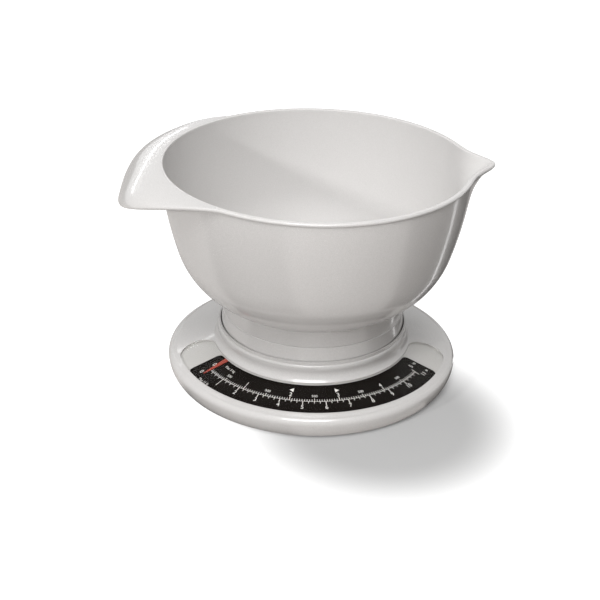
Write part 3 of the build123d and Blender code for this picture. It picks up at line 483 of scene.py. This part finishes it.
def pointer_paint(colour):
    """Red enamel on thin sheet."""
    material, shop = material_shop("pointer_red_enamel")
    peel = shop.noise(700.0, detail=2.0)
    base = shop.blend(peel, tint(colour, 0.9), tint(colour, 1.1))
    normal = shop.bump(peel, distance=0.03 * MM, strength=0.3)
    shop.close(shop.surface(Base_Color=base, Roughness=0.35 + 0.1 * peel, Normal=normal))
    return material


def zinc_steel(colour):
    """Rolled and zinc plated steel with long fine scratches."""
    material, shop = material_shop("zinc_plated_steel")
    scratch = shop.noise(900.0, detail=4.0, stretch=(1.0, 0.06, 1.0))
    spangle = shop.noise(220.0, detail=1.0)
    base = shop.blend(spangle, tint(colour, 0.88), tint(colour, 1.08))
    normal = shop.bump(scratch, distance=0.02 * MM, strength=0.4)
    shop.close(shop.surface(Base_Color=base, Roughness=0.26 + 0.2 * scratch, Metallic=1.0, Normal=normal))
    return material


def turned_brass(colour):
    """Turned brass with faint tool rings."""
    material, shop = material_shop("turned_brass")
    rings = shop.noise(1600.0, detail=3.0, stretch=(0.2, 0.2, 1.0))
    base = shop.blend(rings, tint(colour, 0.85), tint(colour, 1.05))
    normal = shop.bump(rings, distance=0.02 * MM, strength=0.4)
    shop.close(shop.surface(Base_Color=base, Roughness=0.22 + 0.16 * rings, Metallic=1.0, Normal=normal))
    return material


def white_acetal(colour):
    """Waxy white plastic of the rack."""
    material, shop = material_shop("white_acetal")
    cloud = shop.noise(120.0, detail=3.0)
    base = shop.blend(cloud, tint(colour, 0.95), tint(colour, 1.03))
    shop.close(shop.surface(Base_Color=base, Roughness=0.38 + 0.1 * cloud))
    return material


def pad_rubber(colour):
    """Dull black rubber with a dusty bloom."""
    material, shop = material_shop("pad_rubber")
    bloom = shop.noise(300.0, detail=4.0)
    base = shop.blend(bloom, colour, tint(colour, 2.2))
    normal = shop.bump(shop.noise(2200.0, detail=2.0), distance=0.06 * MM, strength=0.5)
    shop.close(shop.surface(Base_Color=base, Roughness=0.75 + 0.15 * bloom, Normal=normal))
    return material


# Modelling helpers
def deselect():
    """Leave edit mode and select nothing."""
    if bpy.context.object and bpy.context.object.mode != "OBJECT":
        bpy.ops.object.mode_set(mode="OBJECT")
    bpy.ops.object.select_all(action="DESELECT")


def dress(obj, material):
    """Give a piece its only material."""
    obj.data.materials.clear()
    obj.data.materials.append(material)


def gather(pieces, name):
    """Join pieces into one."""
    deselect()
    for piece in pieces:
        piece.select_set(True)
    bpy.context.view_layer.objects.active = pieces[0]
    bpy.ops.object.join()
    pieces[0].name = name
    return pieces[0]


def steps(first, last, count):
    """Evenly spaced values from first to last."""
    return [first + (last - first) * i / (count - 1) for i in range(count)]


def soft_least(first, second, softness):
    """The smaller of two values with a rounded change-over."""
    return -softness * math.log(math.exp(-first / softness) + math.exp(-second / softness))


def soft_positive(value, softness):
    """Zero for negative values, the value itself for positive ones, rounded between."""
    rounded_to = 30 * softness
    return softness * math.log1p(math.exp(value / softness)) if value < rounded_to else value


# Bowl
class BowlForm:
    """The bowl's section and how its lip and handle leave the round."""
    # Points in each stretch of the section
    ROWS = {"floor": 6, "belly": 26, "flank": 22, "mouth": 5, "brim": 18, "edge": 11, "under": 14, "foot": 8,
            "base": 4}

    def __init__(self, sizes):
        self.sizes = sizes
        self.top = BOWL_HIGH.z
        self.low = BOWL_LOW.z
        self.rim = BOWL_HIGH.y
        self.lip_reach = BOWL_HIGH.x - BOWL_HIGH.y
        self.belly = (sizes.belly_offset, self.low + sizes.belly_lift + sizes.belly_radius)
        reach = sizes.belly_radius - sizes.flank_radius
        self.flank = (self.belly[0] + reach * math.cos(sizes.belly_end),
                      self.belly[1] + reach * math.sin(sizes.belly_end))
        under_rim = self.top - sizes.rim_height
        self.flank_end = math.asin((under_rim - self.flank[1]) / sizes.flank_radius)
        self.neck = self.flank[0] + sizes.flank_radius * math.cos(self.flank_end)
        self.mouth = self.neck - sizes.wall
        self.mouth_rounding = 0.3 * sizes.wall

    def arc(self, centre, radius, start, end, count):
        """Rows along an arc of the wall."""
        return [("wall", centre[0] + radius * math.cos(turn), centre[1] + radius * math.sin(turn), 0.0)
                for turn in steps(start, end, count)]

    def section(self):
        """Rows of the section from the middle of the floor, over the rim, to the middle of the underside.

        A stretch that starts past its beginning or ends early leaves that point to its neighbour.
        """
        s, count, rounding = self.sizes, self.ROWS, self.mouth_rounding
        floor = self.belly[1] - s.belly_radius + s.wall
        rows = [("wall", radius, floor, 0.0) for radius in steps(0.0, self.belly[0] * 0.97, count["floor"])]
        rows += self.arc(self.belly, s.belly_radius - s.wall, -math.pi / 2, s.belly_end, count["belly"])
        rows += self.arc(self.flank, s.flank_radius - s.wall, s.belly_end, self.flank_end, count["flank"])[1:]
        rows += self.arc((self.mouth + rounding, self.top - rounding), rounding, math.pi, math.pi / 2,
                         count["mouth"])
        rows += [("brim", 0.0, 0.0, share) for share in steps(0.06, 0.97, count["brim"])]
        rows += [("edge", 0.0, 0.0, turn) for turn in steps(math.pi / 2, -math.pi / 2, count["edge"])]
        rows += [("under", 0.0, 0.0, share) for share in steps(0.05, 1.0, count["under"])]
        rows += self.arc(self.flank, s.flank_radius, self.flank_end, s.belly_end, count["flank"])[1:]
        foot = s.foot_radius + s.foot_flare
        foot_turn = -math.acos((foot - self.belly[0]) / s.belly_radius)
        rows += self.arc(self.belly, s.belly_radius, s.belly_end, foot_turn, count["belly"])[1:]
        foot_top = rows[-1][2]
        inner = s.foot_radius - s.foot_width
        under = self.belly[1] - s.belly_radius
        bevel = 0.2 * s.foot_width
        rows += [("wall", foot - share * s.foot_flare, foot_top + share * (self.low + bevel - foot_top), 0.0)
                 for share in steps(0.04, 1.0, count["foot"])]
        rows += [("wall", s.foot_radius - bevel, self.low, 0.0), ("wall", inner + bevel, self.low, 0.0),
                 ("wall", inner, self.low + bevel, 0.0), ("wall", inner, under, 0.0)]
        rows += [("wall", radius, under, 0.0) for radius in steps(inner * 0.8, 0.0, count["base"])]
        return rows

    def handle_reach(self, turn):
        """How far the brim stands out past the rim at an angle, and how far its edge hangs down."""
        s = self.sizes
        off = abs(math.remainder(turn - math.pi, 2 * math.pi))
        past_root = math.radians(15)
        if off > s.root_angle + past_root:
            return 0.0, 0.0
        spread = s.handle_spread * off ** 2 / (off + s.straight_angle)
        reach = soft_least(s.handle_reach + spread, s.flank_rate * (s.root_angle - off), s.corner_rounding)
        drop = s.handle_drop * math.cos(min(1.0, off / s.root_angle) * math.pi / 2) ** s.drop_fade
        return soft_positive(reach, s.root_rounding), drop

    def lip_swell(self, turn, height):
        """How far the wall moves out at the pouring lip."""
        s = self.sizes
        off = abs(math.remainder(turn, 2 * math.pi))
        share = max(0.0, 1 - (self.top - height) / s.lip_depth)
        return self.lip_reach * math.exp(-(off / s.lip_spread) ** s.lip_sharpness) * share ** s.lip_fade

    def brim_face(self, radius, reach, drop):
        """Height and downward slope angle of the rim's or the handle's upper face."""
        power = self.sizes.handle_roll
        span = self.rim + reach - self.mouth
        # The face would be upright at the very edge
        last_share = 0.995
        share = min(last_share, max(0.0, radius - self.mouth) / span)
        rest = 1 - share ** power
        slope = drop / span * share ** (power - 1) * rest ** (1 / power - 1)
        return self.top - drop * (1 - rest ** (1 / power)), math.atan(slope)

    def place(self, row, turn):
        """Radius and height of one row of the section at an angle."""
        zone, radius, height, share = row
        if zone == "wall":
            return radius + self.lip_swell(turn, height), height
        reach, drop = self.handle_reach(turn)
        swell = self.lip_swell(turn, self.top)
        thick = self.sizes.brim_thickness
        outer = self.rim + reach
        lean = self.brim_face(outer - thick / 2, reach, drop)[1]
        shoulder = outer - thick / 2 * (1 - math.sin(lean))
        inner = self.mouth + self.mouth_rounding
        if zone == "brim":
            radius = inner + share * (shoulder - inner)
            return radius + swell, self.brim_face(radius, reach, drop)[0]
        if zone == "edge":
            height, lean = self.brim_face(shoulder, reach, drop)
            along, across = thick / 2 * math.cos(share), thick / 2 * (math.sin(share) - 1)
            return (shoulder + swell + along * math.cos(lean) + across * math.sin(lean),
                    height - along * math.sin(lean) + across * math.cos(lean))
        radius = shoulder + share * (self.neck - shoulder)
        height, lean = self.brim_face(radius, reach, drop)
        tuck = (self.sizes.rim_height - thick) * share ** 4
        return radius + swell - (1 - share) * thick * math.sin(lean), height - thick * math.cos(lean) - tuck


def spun_section(name, rows, form, columns):
    """Extrude a chain of points, one for each row, spin it about the axis and place every point."""
    deselect()
    bpy.ops.mesh.primitive_plane_add(size=MM)
    obj = bpy.context.object
    obj.name = name
    bpy.ops.object.mode_set(mode="EDIT")
    bpy.ops.mesh.merge(type="CENTER")
    for row in range(1, len(rows)):
        bpy.ops.mesh.extrude_region_move(TRANSFORM_OT_translate={"value": (MM, 0, 0)})
    bpy.ops.object.mode_set(mode="OBJECT")
    # The chain lies flat and off the axis until every point is placed
    off_axis = 100 * MM
    numbers = obj.data.attributes.new("row", "INT", "POINT")
    order = sorted(range(len(rows)), key=lambda i: obj.data.vertices[i].co.x)
    for row, index in enumerate(order):
        numbers.data[index].value = row
        obj.data.vertices[index].co = (off_axis + row * MM, 0, 0)
    bpy.ops.object.mode_set(mode="EDIT")
    bpy.ops.mesh.select_all(action="SELECT")
    bpy.ops.mesh.spin(steps=columns, angle=2 * math.pi, center=(0, 0, 0), axis=(0, 0, 1))
    bpy.ops.object.mode_set(mode="OBJECT")
    for vertex in obj.data.vertices:
        turn = math.atan2(vertex.co.y, vertex.co.x)
        row = rows[obj.data.attributes["row"].data[vertex.index].value]
        radius, height = form.place(row, turn)
        vertex.co = (radius * math.cos(turn), radius * math.sin(turn), height)
    obj.data.attributes.remove(obj.data.attributes["row"])
    bpy.ops.object.mode_set(mode="EDIT")
    bpy.ops.mesh.select_all(action="SELECT")
    bpy.ops.mesh.remove_doubles(threshold=0.02 * MM)
    bpy.ops.mesh.normals_make_consistent(inside=False)
    bpy.ops.object.mode_set(mode="OBJECT")
    bpy.ops.object.shade_smooth_by_angle(angle=math.radians(35))
    return obj


class SCALE_OT_add_bowl(bpy.types.Operator):
    """Spin the mixing bowl and draw out its pouring lip and handle"""
    bl_idname = "kitchen_scale.add_bowl"
    bl_label = "Mixing bowl"

    def execute(self, context):
        sizes = context.scene.scale_bowl
        form = BowlForm(sizes)
        bowl = spun_section("bowl_moulding", form.section(), form, sizes.columns)
        colours = context.scene.scale_finishes
        dress(bowl, pearl_plastic(colours.pearl, colours.flake, satin_and_painted_light_inside=True))
        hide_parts("mixing_bowl")
        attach(bowl, "bowl")
        return {"FINISHED"}


# Springs
def wound_coil(radius, wire, pitch, turns, place):
    """A wire wound about an upright axis."""
    deselect()
    bpy.ops.mesh.primitive_circle_add(vertices=14, radius=wire, location=(radius, 0, 0),
                                      rotation=(math.pi / 2, 0, 0))
    bpy.ops.object.transform_apply()
    coil = bpy.context.object
    screw = coil.modifiers.new("winding", "SCREW")
    screw.screw_offset = pitch
    screw.iterations = turns
    screw.steps = screw.render_steps = 40
    bpy.ops.object.modifier_apply(modifier=screw.name)
    coil.data.transform(Matrix.Translation(place))
    bpy.ops.object.mode_set(mode="EDIT")
    bpy.ops.mesh.select_all(action="SELECT")
    bpy.ops.mesh.fill_holes(sides=0)
    bpy.ops.mesh.normals_make_consistent(inside=False)
    bpy.ops.object.mode_set(mode="OBJECT")
    bpy.ops.object.shade_smooth_by_angle(angle=math.radians(50))
    return coil


class SCALE_OT_add_springs(bpy.types.Operator):
    """Wind the two main springs, which full load presses together"""
    bl_idname = "kitchen_scale.add_springs"
    bl_label = "Main springs"

    def execute(self, context):
        sizes = context.scene.scale_springs
        low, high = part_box("main_springs")
        radius = (high.y - low.y) / 2 - sizes.wire
        pitch = (high.z - low.z - 2 * sizes.wire) / sizes.turns
        places = [(x, (low.y + high.y) / 2, low.z + sizes.wire)
                  for x in (low.x + radius + sizes.wire, high.x - radius - sizes.wire)]
        coils = [wound_coil(radius, sizes.wire, pitch, sizes.turns, place) for place in places]
        springs = gather(coils, "main_spring_coils")
        dress(springs, zinc_steel(context.scene.scale_finishes.zinc))
        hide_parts("main_springs")
        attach(springs, "base")
        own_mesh(springs)
        return {"FINISHED"}


# Dial print
def dial_height(sizes, radius):
    """Height of the dial plate's face at a radius."""
    return DIAL_TOP - sizes.slope * (radius - sizes.inner_radius)


def dial_point(sizes, radius, angle, lift):
    """A point over the dial plate's face."""
    return radius * math.cos(angle), radius * math.sin(angle), dial_height(sizes, radius) + lift


def load_angle(sizes, kilos):
    """Angle of a load on the dial."""
    return FRONT + sizes.sweep * (kilos / sizes.full_load - 0.5)


def figure_angle(sizes, share):
    """Angle of a figure at a share of the sweep; the end figures are set a little outwards."""
    near_end = 0.005
    turn = FRONT + sizes.sweep * (share - 0.5)
    if share < near_end:
        return turn - sizes.end_shift
    return turn + sizes.end_shift if share > 1 - near_end else turn


def arrowhead(sizes, side):
    """Flat triangle that points away from the dial's middle."""
    deselect()
    # An even triangle is one and a half times as high as its outer radius
    bpy.ops.mesh.primitive_circle_add(vertices=3, radius=sizes.arrow_size / 1.5, fill_type="NGON")
    arrow = bpy.context.object
    for vertex in arrow.data.vertices:
        across, up = vertex.co.xy
        angle = FRONT + side * (sizes.arrow_angle + up / sizes.arrow_radius)
        vertex.co = dial_point(sizes, sizes.arrow_radius - across, angle, 1.5 * sizes.ink)
    return arrow


def tick_ring(sizes, radii, width, first, step, count):
    """One printed tick, spun into a row of copies about the axis."""
    deselect()
    middle = sum(radii) / 2
    tilt = math.atan(sizes.slope)
    length = (radii[1] - radii[0]) / math.cos(tilt)
    place = Matrix.Translation(dial_point(sizes, middle, 0, sizes.ink)) @ Matrix.Rotation(tilt, 4, "Y")
    place = Matrix.Rotation(first, 4, "Z") @ place
    bpy.ops.mesh.primitive_cube_add(size=1)
    tick = bpy.context.object
    tick.data.transform(place @ Matrix.Diagonal((length, width, sizes.ink, 1)))
    if count > 1:
        bpy.ops.object.mode_set(mode="EDIT")
        bpy.ops.mesh.select_all(action="SELECT")
        bpy.ops.mesh.spin(steps=count - 1, dupli=True, angle=-step * (count - 1), center=(0, 0, 0),
                          axis=(0, 0, 1))
        bpy.ops.object.mode_set(mode="OBJECT")
    return tick


def lettering(sizes, words, size, radius, turn):
    """A figure or word, printed along the dial with its foot outwards."""
    deselect()
    bpy.ops.object.text_add()
    text = bpy.context.object
    text.data.body = words
    text.data.size = size
    text.data.align_x = "CENTER"
    text.data.align_y = "CENTER"
    text.data.extrude = sizes.ink / 2
    text.data.resolution_u = 4
    bpy.ops.object.convert(target="MESH")
    for vertex in text.data.vertices:
        across, up, rise = vertex.co
        vertex.co = dial_point(sizes, radius - up, turn + across / radius, sizes.ink + rise)
    return text


class SCALE_OT_print_scales(bpy.types.Operator):
    """Print the lines of the kilogram and the pound scale"""
    bl_idname = "kitchen_scale.print_scales"
    bl_label = "Dial lines"

    def execute(self, context):
        sizes = context.scene.scale_dial
        full, line, fine = sizes.full_load, sizes.line_radius, sizes.line_width
        kilo = sizes.sweep / full
        pound = kilo / sizes.pounds_per_kilo
        pounds = int(full * sizes.pounds_per_kilo)
        start = load_angle(sizes, 0)
        # Radii, width, step and number of the ticks in each row
        rows = [
            ((line - sizes.fine_tick, line), fine, kilo / sizes.kilo_parts, sizes.kilo_parts * full + 1),
            ((line - sizes.half_tick, line), 1.3 * fine, kilo / 2, 2 * full + 1),
            ((line - sizes.kilo_tick, line), 1.5 * fine, kilo, full + 1),
            ((line, line + sizes.fine_tick), fine, pound / sizes.pound_parts, sizes.pound_parts * pounds + 1),
            ((line, line + sizes.pound_tick), 1.4 * fine, pound, pounds + 1),
        ]
        ticks = [tick_ring(sizes, radii, width, start, step, count) for radii, width, step, count in rows]
        dashes = 2 * sizes.kilo_parts
        dash = kilo / dashes
        base_line = tick_ring(sizes, (line - fine / 3, line + fine / 3), line * dash, start + dash / 2, dash,
                              dashes * full)
        scales = gather([*ticks, base_line], "dial_scale_lines")
        dress(scales, print_ink(context.scene.scale_finishes.print_white))
        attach(scales, "base")
        return {"FINISHED"}


class SCALE_OT_print_figures(bpy.types.Operator):
    """Print the figures, the unit signs and the two arrowheads"""
    bl_idname = "kitchen_scale.print_figures"
    bl_label = "Dial figures"

    def execute(self, context):
        sizes = context.scene.scale_dial
        full, pounds_full = sizes.full_load, sizes.full_load * sizes.pounds_per_kilo
        large, small = sizes.figure_size, sizes.small_size
        marks = [(str(kilos), large, sizes.kilo_radius, figure_angle(sizes, kilos / full))
                 for kilos in range(full + 1)]
        marks += [("500", small, sizes.half_radius, load_angle(sizes, kilos + 0.5)) for kilos in range(full)]
        marks += [(str(pounds), large, sizes.pound_radius, figure_angle(sizes, pounds / pounds_full))
                  for pounds in range(int(pounds_full) + 1)]
        end = figure_angle(sizes, 1.0)
        marks += [("kg", small, sizes.kilo_radius, end + sizes.kilo_sign_shift),
                  ("lb", small, sizes.pound_radius, end + sizes.pound_sign_shift),
                  (f"Max {full} kg", small, sizes.kilo_note_radius, FRONT - sizes.kilo_note_angle),
                  (f"Max {int(pounds_full)} lb", small, sizes.pound_note_radius,
                   FRONT - sizes.pound_note_angle)]
        words = [lettering(sizes, *mark) for mark in marks]
        words += [arrowhead(sizes, -1), arrowhead(sizes, 1)]
        figures = gather(words, "dial_figures")
        dress(figures, print_ink(context.scene.scale_finishes.print_white))
        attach(figures, "base")
        return {"FINISHED"}


# Finishes of the solid pieces
class SCALE_OT_finish_pieces(bpy.types.Operator):
    """Give every solid piece its finish"""
    bl_idname = "kitchen_scale.finish_pieces"
    bl_label = "Finishes"

    def execute(self, context):
        colours = context.scene.scale_finishes
        makers = {
            "pearl_plastic": (pearl_plastic, colours.pearl, colours.flake),
            "base_plastic": (satin_plastic, colours.satin_grey),
            "clear_plastic": (clear_window,),
            "dial_black": (dial_ground, colours.dial_black),
            "pointer_red": (pointer_paint, colours.pointer_red),
            "zinc_steel": (zinc_steel, colours.zinc),
            "brass": (turned_brass, colours.brass),
            "white_acetal": (white_acetal, colours.acetal),
            "rubber": (pad_rubber, colours.rubber),
        }
        finishes = {slot: make(*paints) for slot, (make, *paints) in makers.items()}
        for part in frame["record"]["subparts"]:
            dress(frame["nodes"][part["node"]], finishes[part["material_slot"]])
        return {"FINISHED"}


# Stage
def studio_world(strength):
    """White for the eye and for reflections, an even softer light for everything else."""
    world = bpy.data.worlds.new("studio")
    bpy.context.scene.world = world
    world.use_nodes = True
    shop = NodeShop(world.node_tree)
    mirrored = shop.math("MAXIMUM", shop.seen_by("Glossy"), shop.seen_by("Transmission"))
    share = shop.math("MAXIMUM", shop.seen_by("Camera"), mirrored)
    white = shop.add("ShaderNodeBackground", {}, {"Color": (1, 1, 1, 1), "Strength": 1.0})
    room = shop.add("ShaderNodeBackground", {}, {"Color": (1.0, 0.985, 0.97, 1), "Strength": strength})
    mixed = shop.add("ShaderNodeMixShader", {}, {0: share, 1: room, 2: white})
    shop.add("ShaderNodeOutputWorld", {}, {"Surface": mixed})


def floor_wedge(shop, turn, middle, half, edge):
    """Share of a wedge of the floor about an angle, with soft sides, in degrees; it marks where the floor's
    painted reflection is dark or glows.
    """
    off = shop.math("WRAP", turn - math.radians(middle), math.pi, -math.pi)
    return shop.ease(shop.math("ABSOLUTE", off), math.radians(half), math.radians(half + edge), 1.0, 0.0)


def floor_finish(stage):
    """Pale matt floor with a painted shadow beside the scale: its glow for the eye is dimmed there, on top of
    the real shadow, and it runs out into white further off.

    For glossy rays it is painted dark in a wedge to the left and one to the right and glows in a thin streak
    on the right: a painted reflection of shade and of a bright line in the glossy wall.
    """
    material, shop = material_shop("studio_floor")
    pale, shaded, painted_dark_reflection = (0.6, 0.58, 0.565), (0.33, 0.33, 0.33), (0.03, 0.03, 0.03)
    place = shop.coordinates()
    eye, mirror = shop.seen_by("Camera"), shop.seen_by("Glossy")
    # Painted shadow: the glow for the eye sinks to the lift round the shadow's middle and rises to full white
    # at its edge
    away = shop.vector("LENGTH", shop.vector("SUBTRACT", place, stage.shadow_middle), output="Value")
    fade = shop.ease(away, stage.shadow_core, stage.shadow_edge)
    lift = eye * (stage.shadow_lift + (1 - stage.shadow_lift) * fade)
    # Painted reflection: for glossy rays the floor darkens in two wedges about this point and glows in a thin
    # streak
    spread = shop.vector("SUBTRACT", place, stage.wedge_point)
    across, along = (shop.add("ShaderNodeSeparateXYZ", {}, {"Vector": spread}, axis) for axis in "XY")
    turn = shop.math("ARCTAN2", along, across)
    right = floor_wedge(shop, turn, middle=13, half=37, edge=4)
    left = floor_wedge(shop, turn, middle=213, half=25, edge=8)
    streak = mirror * floor_wedge(shop, turn, middle=25, half=1.6, edge=1.2)
    ground = shop.blend(eye, shop.blend(mirror * (right + left), pale, painted_dark_reflection), shaded)
    glow = shop.blend(streak, shop.blend(lift, (0, 0, 0), (1, 1, 1)), (stage.streak_glow,) * 3)
    shop.close(shop.surface(Base_Color=ground, Roughness=1.0, Specular_IOR_Level=0.0, Emission_Color=glow,
                            Emission_Strength=1.0))
    return material


def soft_lamp(name, place, target, size, power, mirrored=True):
    """A rectangular lamp aimed at a point; its mirror image can be left out."""
    bpy.ops.object.light_add(type="AREA", location=place)
    lamp = bpy.context.object
    lamp.name = name
    lamp.data.shape = "RECTANGLE"
    lamp.data.size, lamp.data.size_y = size
    lamp.data.energy = power
    lamp.visible_camera = False
    lamp.visible_glossy = mirrored
    lamp.rotation_euler = (Vector(target) - Vector(place)).to_track_quat("-Z", "Y").to_euler()


class SCALE_OT_set_stage(bpy.types.Operator):
    """Set the floor, the lamps and the camera"""
    bl_idname = "kitchen_scale.set_stage"
    bl_label = "Studio"

    def execute(self, context):
        stage = context.scene.scale_stage
        deselect()
        bpy.ops.mesh.primitive_plane_add(size=stage.floor_size)
        floor = context.object
        floor.name = "studio_floor"
        dress(floor, floor_finish(stage))
        studio_world(stage.room_light)
        aim = Vector((0, 0, stage.aim_height))
        soft_lamp("top_lamp", place=(-0.25, 0.3, 1.5), target=aim, size=(1.1, 1.1), power=stage.top_power)
        soft_lamp("key_lamp", place=(-1.09, -1.065, 0.645), target=aim, size=(0.1, 0.1),
                  power=stage.key_power, mirrored=False)
        soft_lamp("front_lamp", place=(-0.375, -1.215, 0.87), target=aim, size=(0.7, 0.5),
                  power=stage.front_power, mirrored=False)
        soft_lamp("bowl_lamp", place=(-0.05, -0.75, 1.25), target=aim, size=(0.7, 0.7),
                  power=stage.bowl_power)
        soft_lamp("handle_strip", place=(-0.222, 0.325, 0.205), target=(0.138, -0.015, 0.15),
                  size=(0.25, 0.01), power=stage.strip_power)
        flat = stage.distance * math.cos(stage.elevation)
        offset = Vector((-flat * math.sin(stage.azimuth), -flat * math.cos(stage.azimuth),
                         stage.distance * math.sin(stage.elevation)))
        bpy.ops.object.camera_add(location=aim + offset)
        camera = context.object
        turn = (-offset).to_track_quat("-Z", "Y").to_matrix() @ Matrix.Rotation(stage.roll, 3, "Z")
        camera.rotation_euler = turn.to_euler()
        camera.data.sensor_width = 36
        camera.data.lens = stage.lens
        camera.data.shift_x = stage.shift_x
        camera.data.shift_y = stage.shift_y
        camera.data.clip_start = 0.01
        context.scene.camera = camera
        context.scene.view_settings.view_transform = "Standard"
        return {"FINISHED"}


class SCALE_PT_panel(bpy.types.Panel):
    """Lists the steps that build the scale."""
    bl_idname = "SCALE_PT_panel"
    bl_label = "Kitchen Scale"
    bl_space_type = "VIEW_3D"
    bl_region_type = "UI"
    bl_category = "Kitchen Scale"

    def draw(self, context):
        for step in STEPS:
            self.layout.operator(step.bl_idname)


STEPS = (SCALE_OT_add_bowl, SCALE_OT_add_springs, SCALE_OT_print_scales, SCALE_OT_print_figures,
         SCALE_OT_finish_pieces, SCALE_OT_set_stage)
GROUPS = {"scale_bowl": BowlSizes, "scale_springs": SpringSizes, "scale_dial": DialSizes,
          "scale_finishes": Finishes, "scale_stage": StageSettings}


def register():
    """Make the sizes, the steps and the panel known."""
    for item in (*GROUPS.values(), *STEPS, SCALE_PT_panel):
        bpy.utils.register_class(item)
    for name, group in GROUPS.items():
        setattr(bpy.types.Scene, name, PointerProperty(type=group))


def unregister():
    """Take the sizes, the steps and the panel away again."""
    for name in GROUPS:
        delattr(bpy.types.Scene, name)
    for item in reversed((*GROUPS.values(), *STEPS, SCALE_PT_panel)):
        bpy.utils.unregister_class(item)


def main():
    """Build the scale."""
    register()
    bpy.ops.kitchen_scale.add_bowl()
    bpy.ops.kitchen_scale.add_springs()
    bpy.ops.kitchen_scale.print_scales()
    bpy.ops.kitchen_scale.print_figures()
    bpy.ops.kitchen_scale.finish_pieces()
    bpy.ops.kitchen_scale.set_stage()


if __name__ == "__main__":
    main()
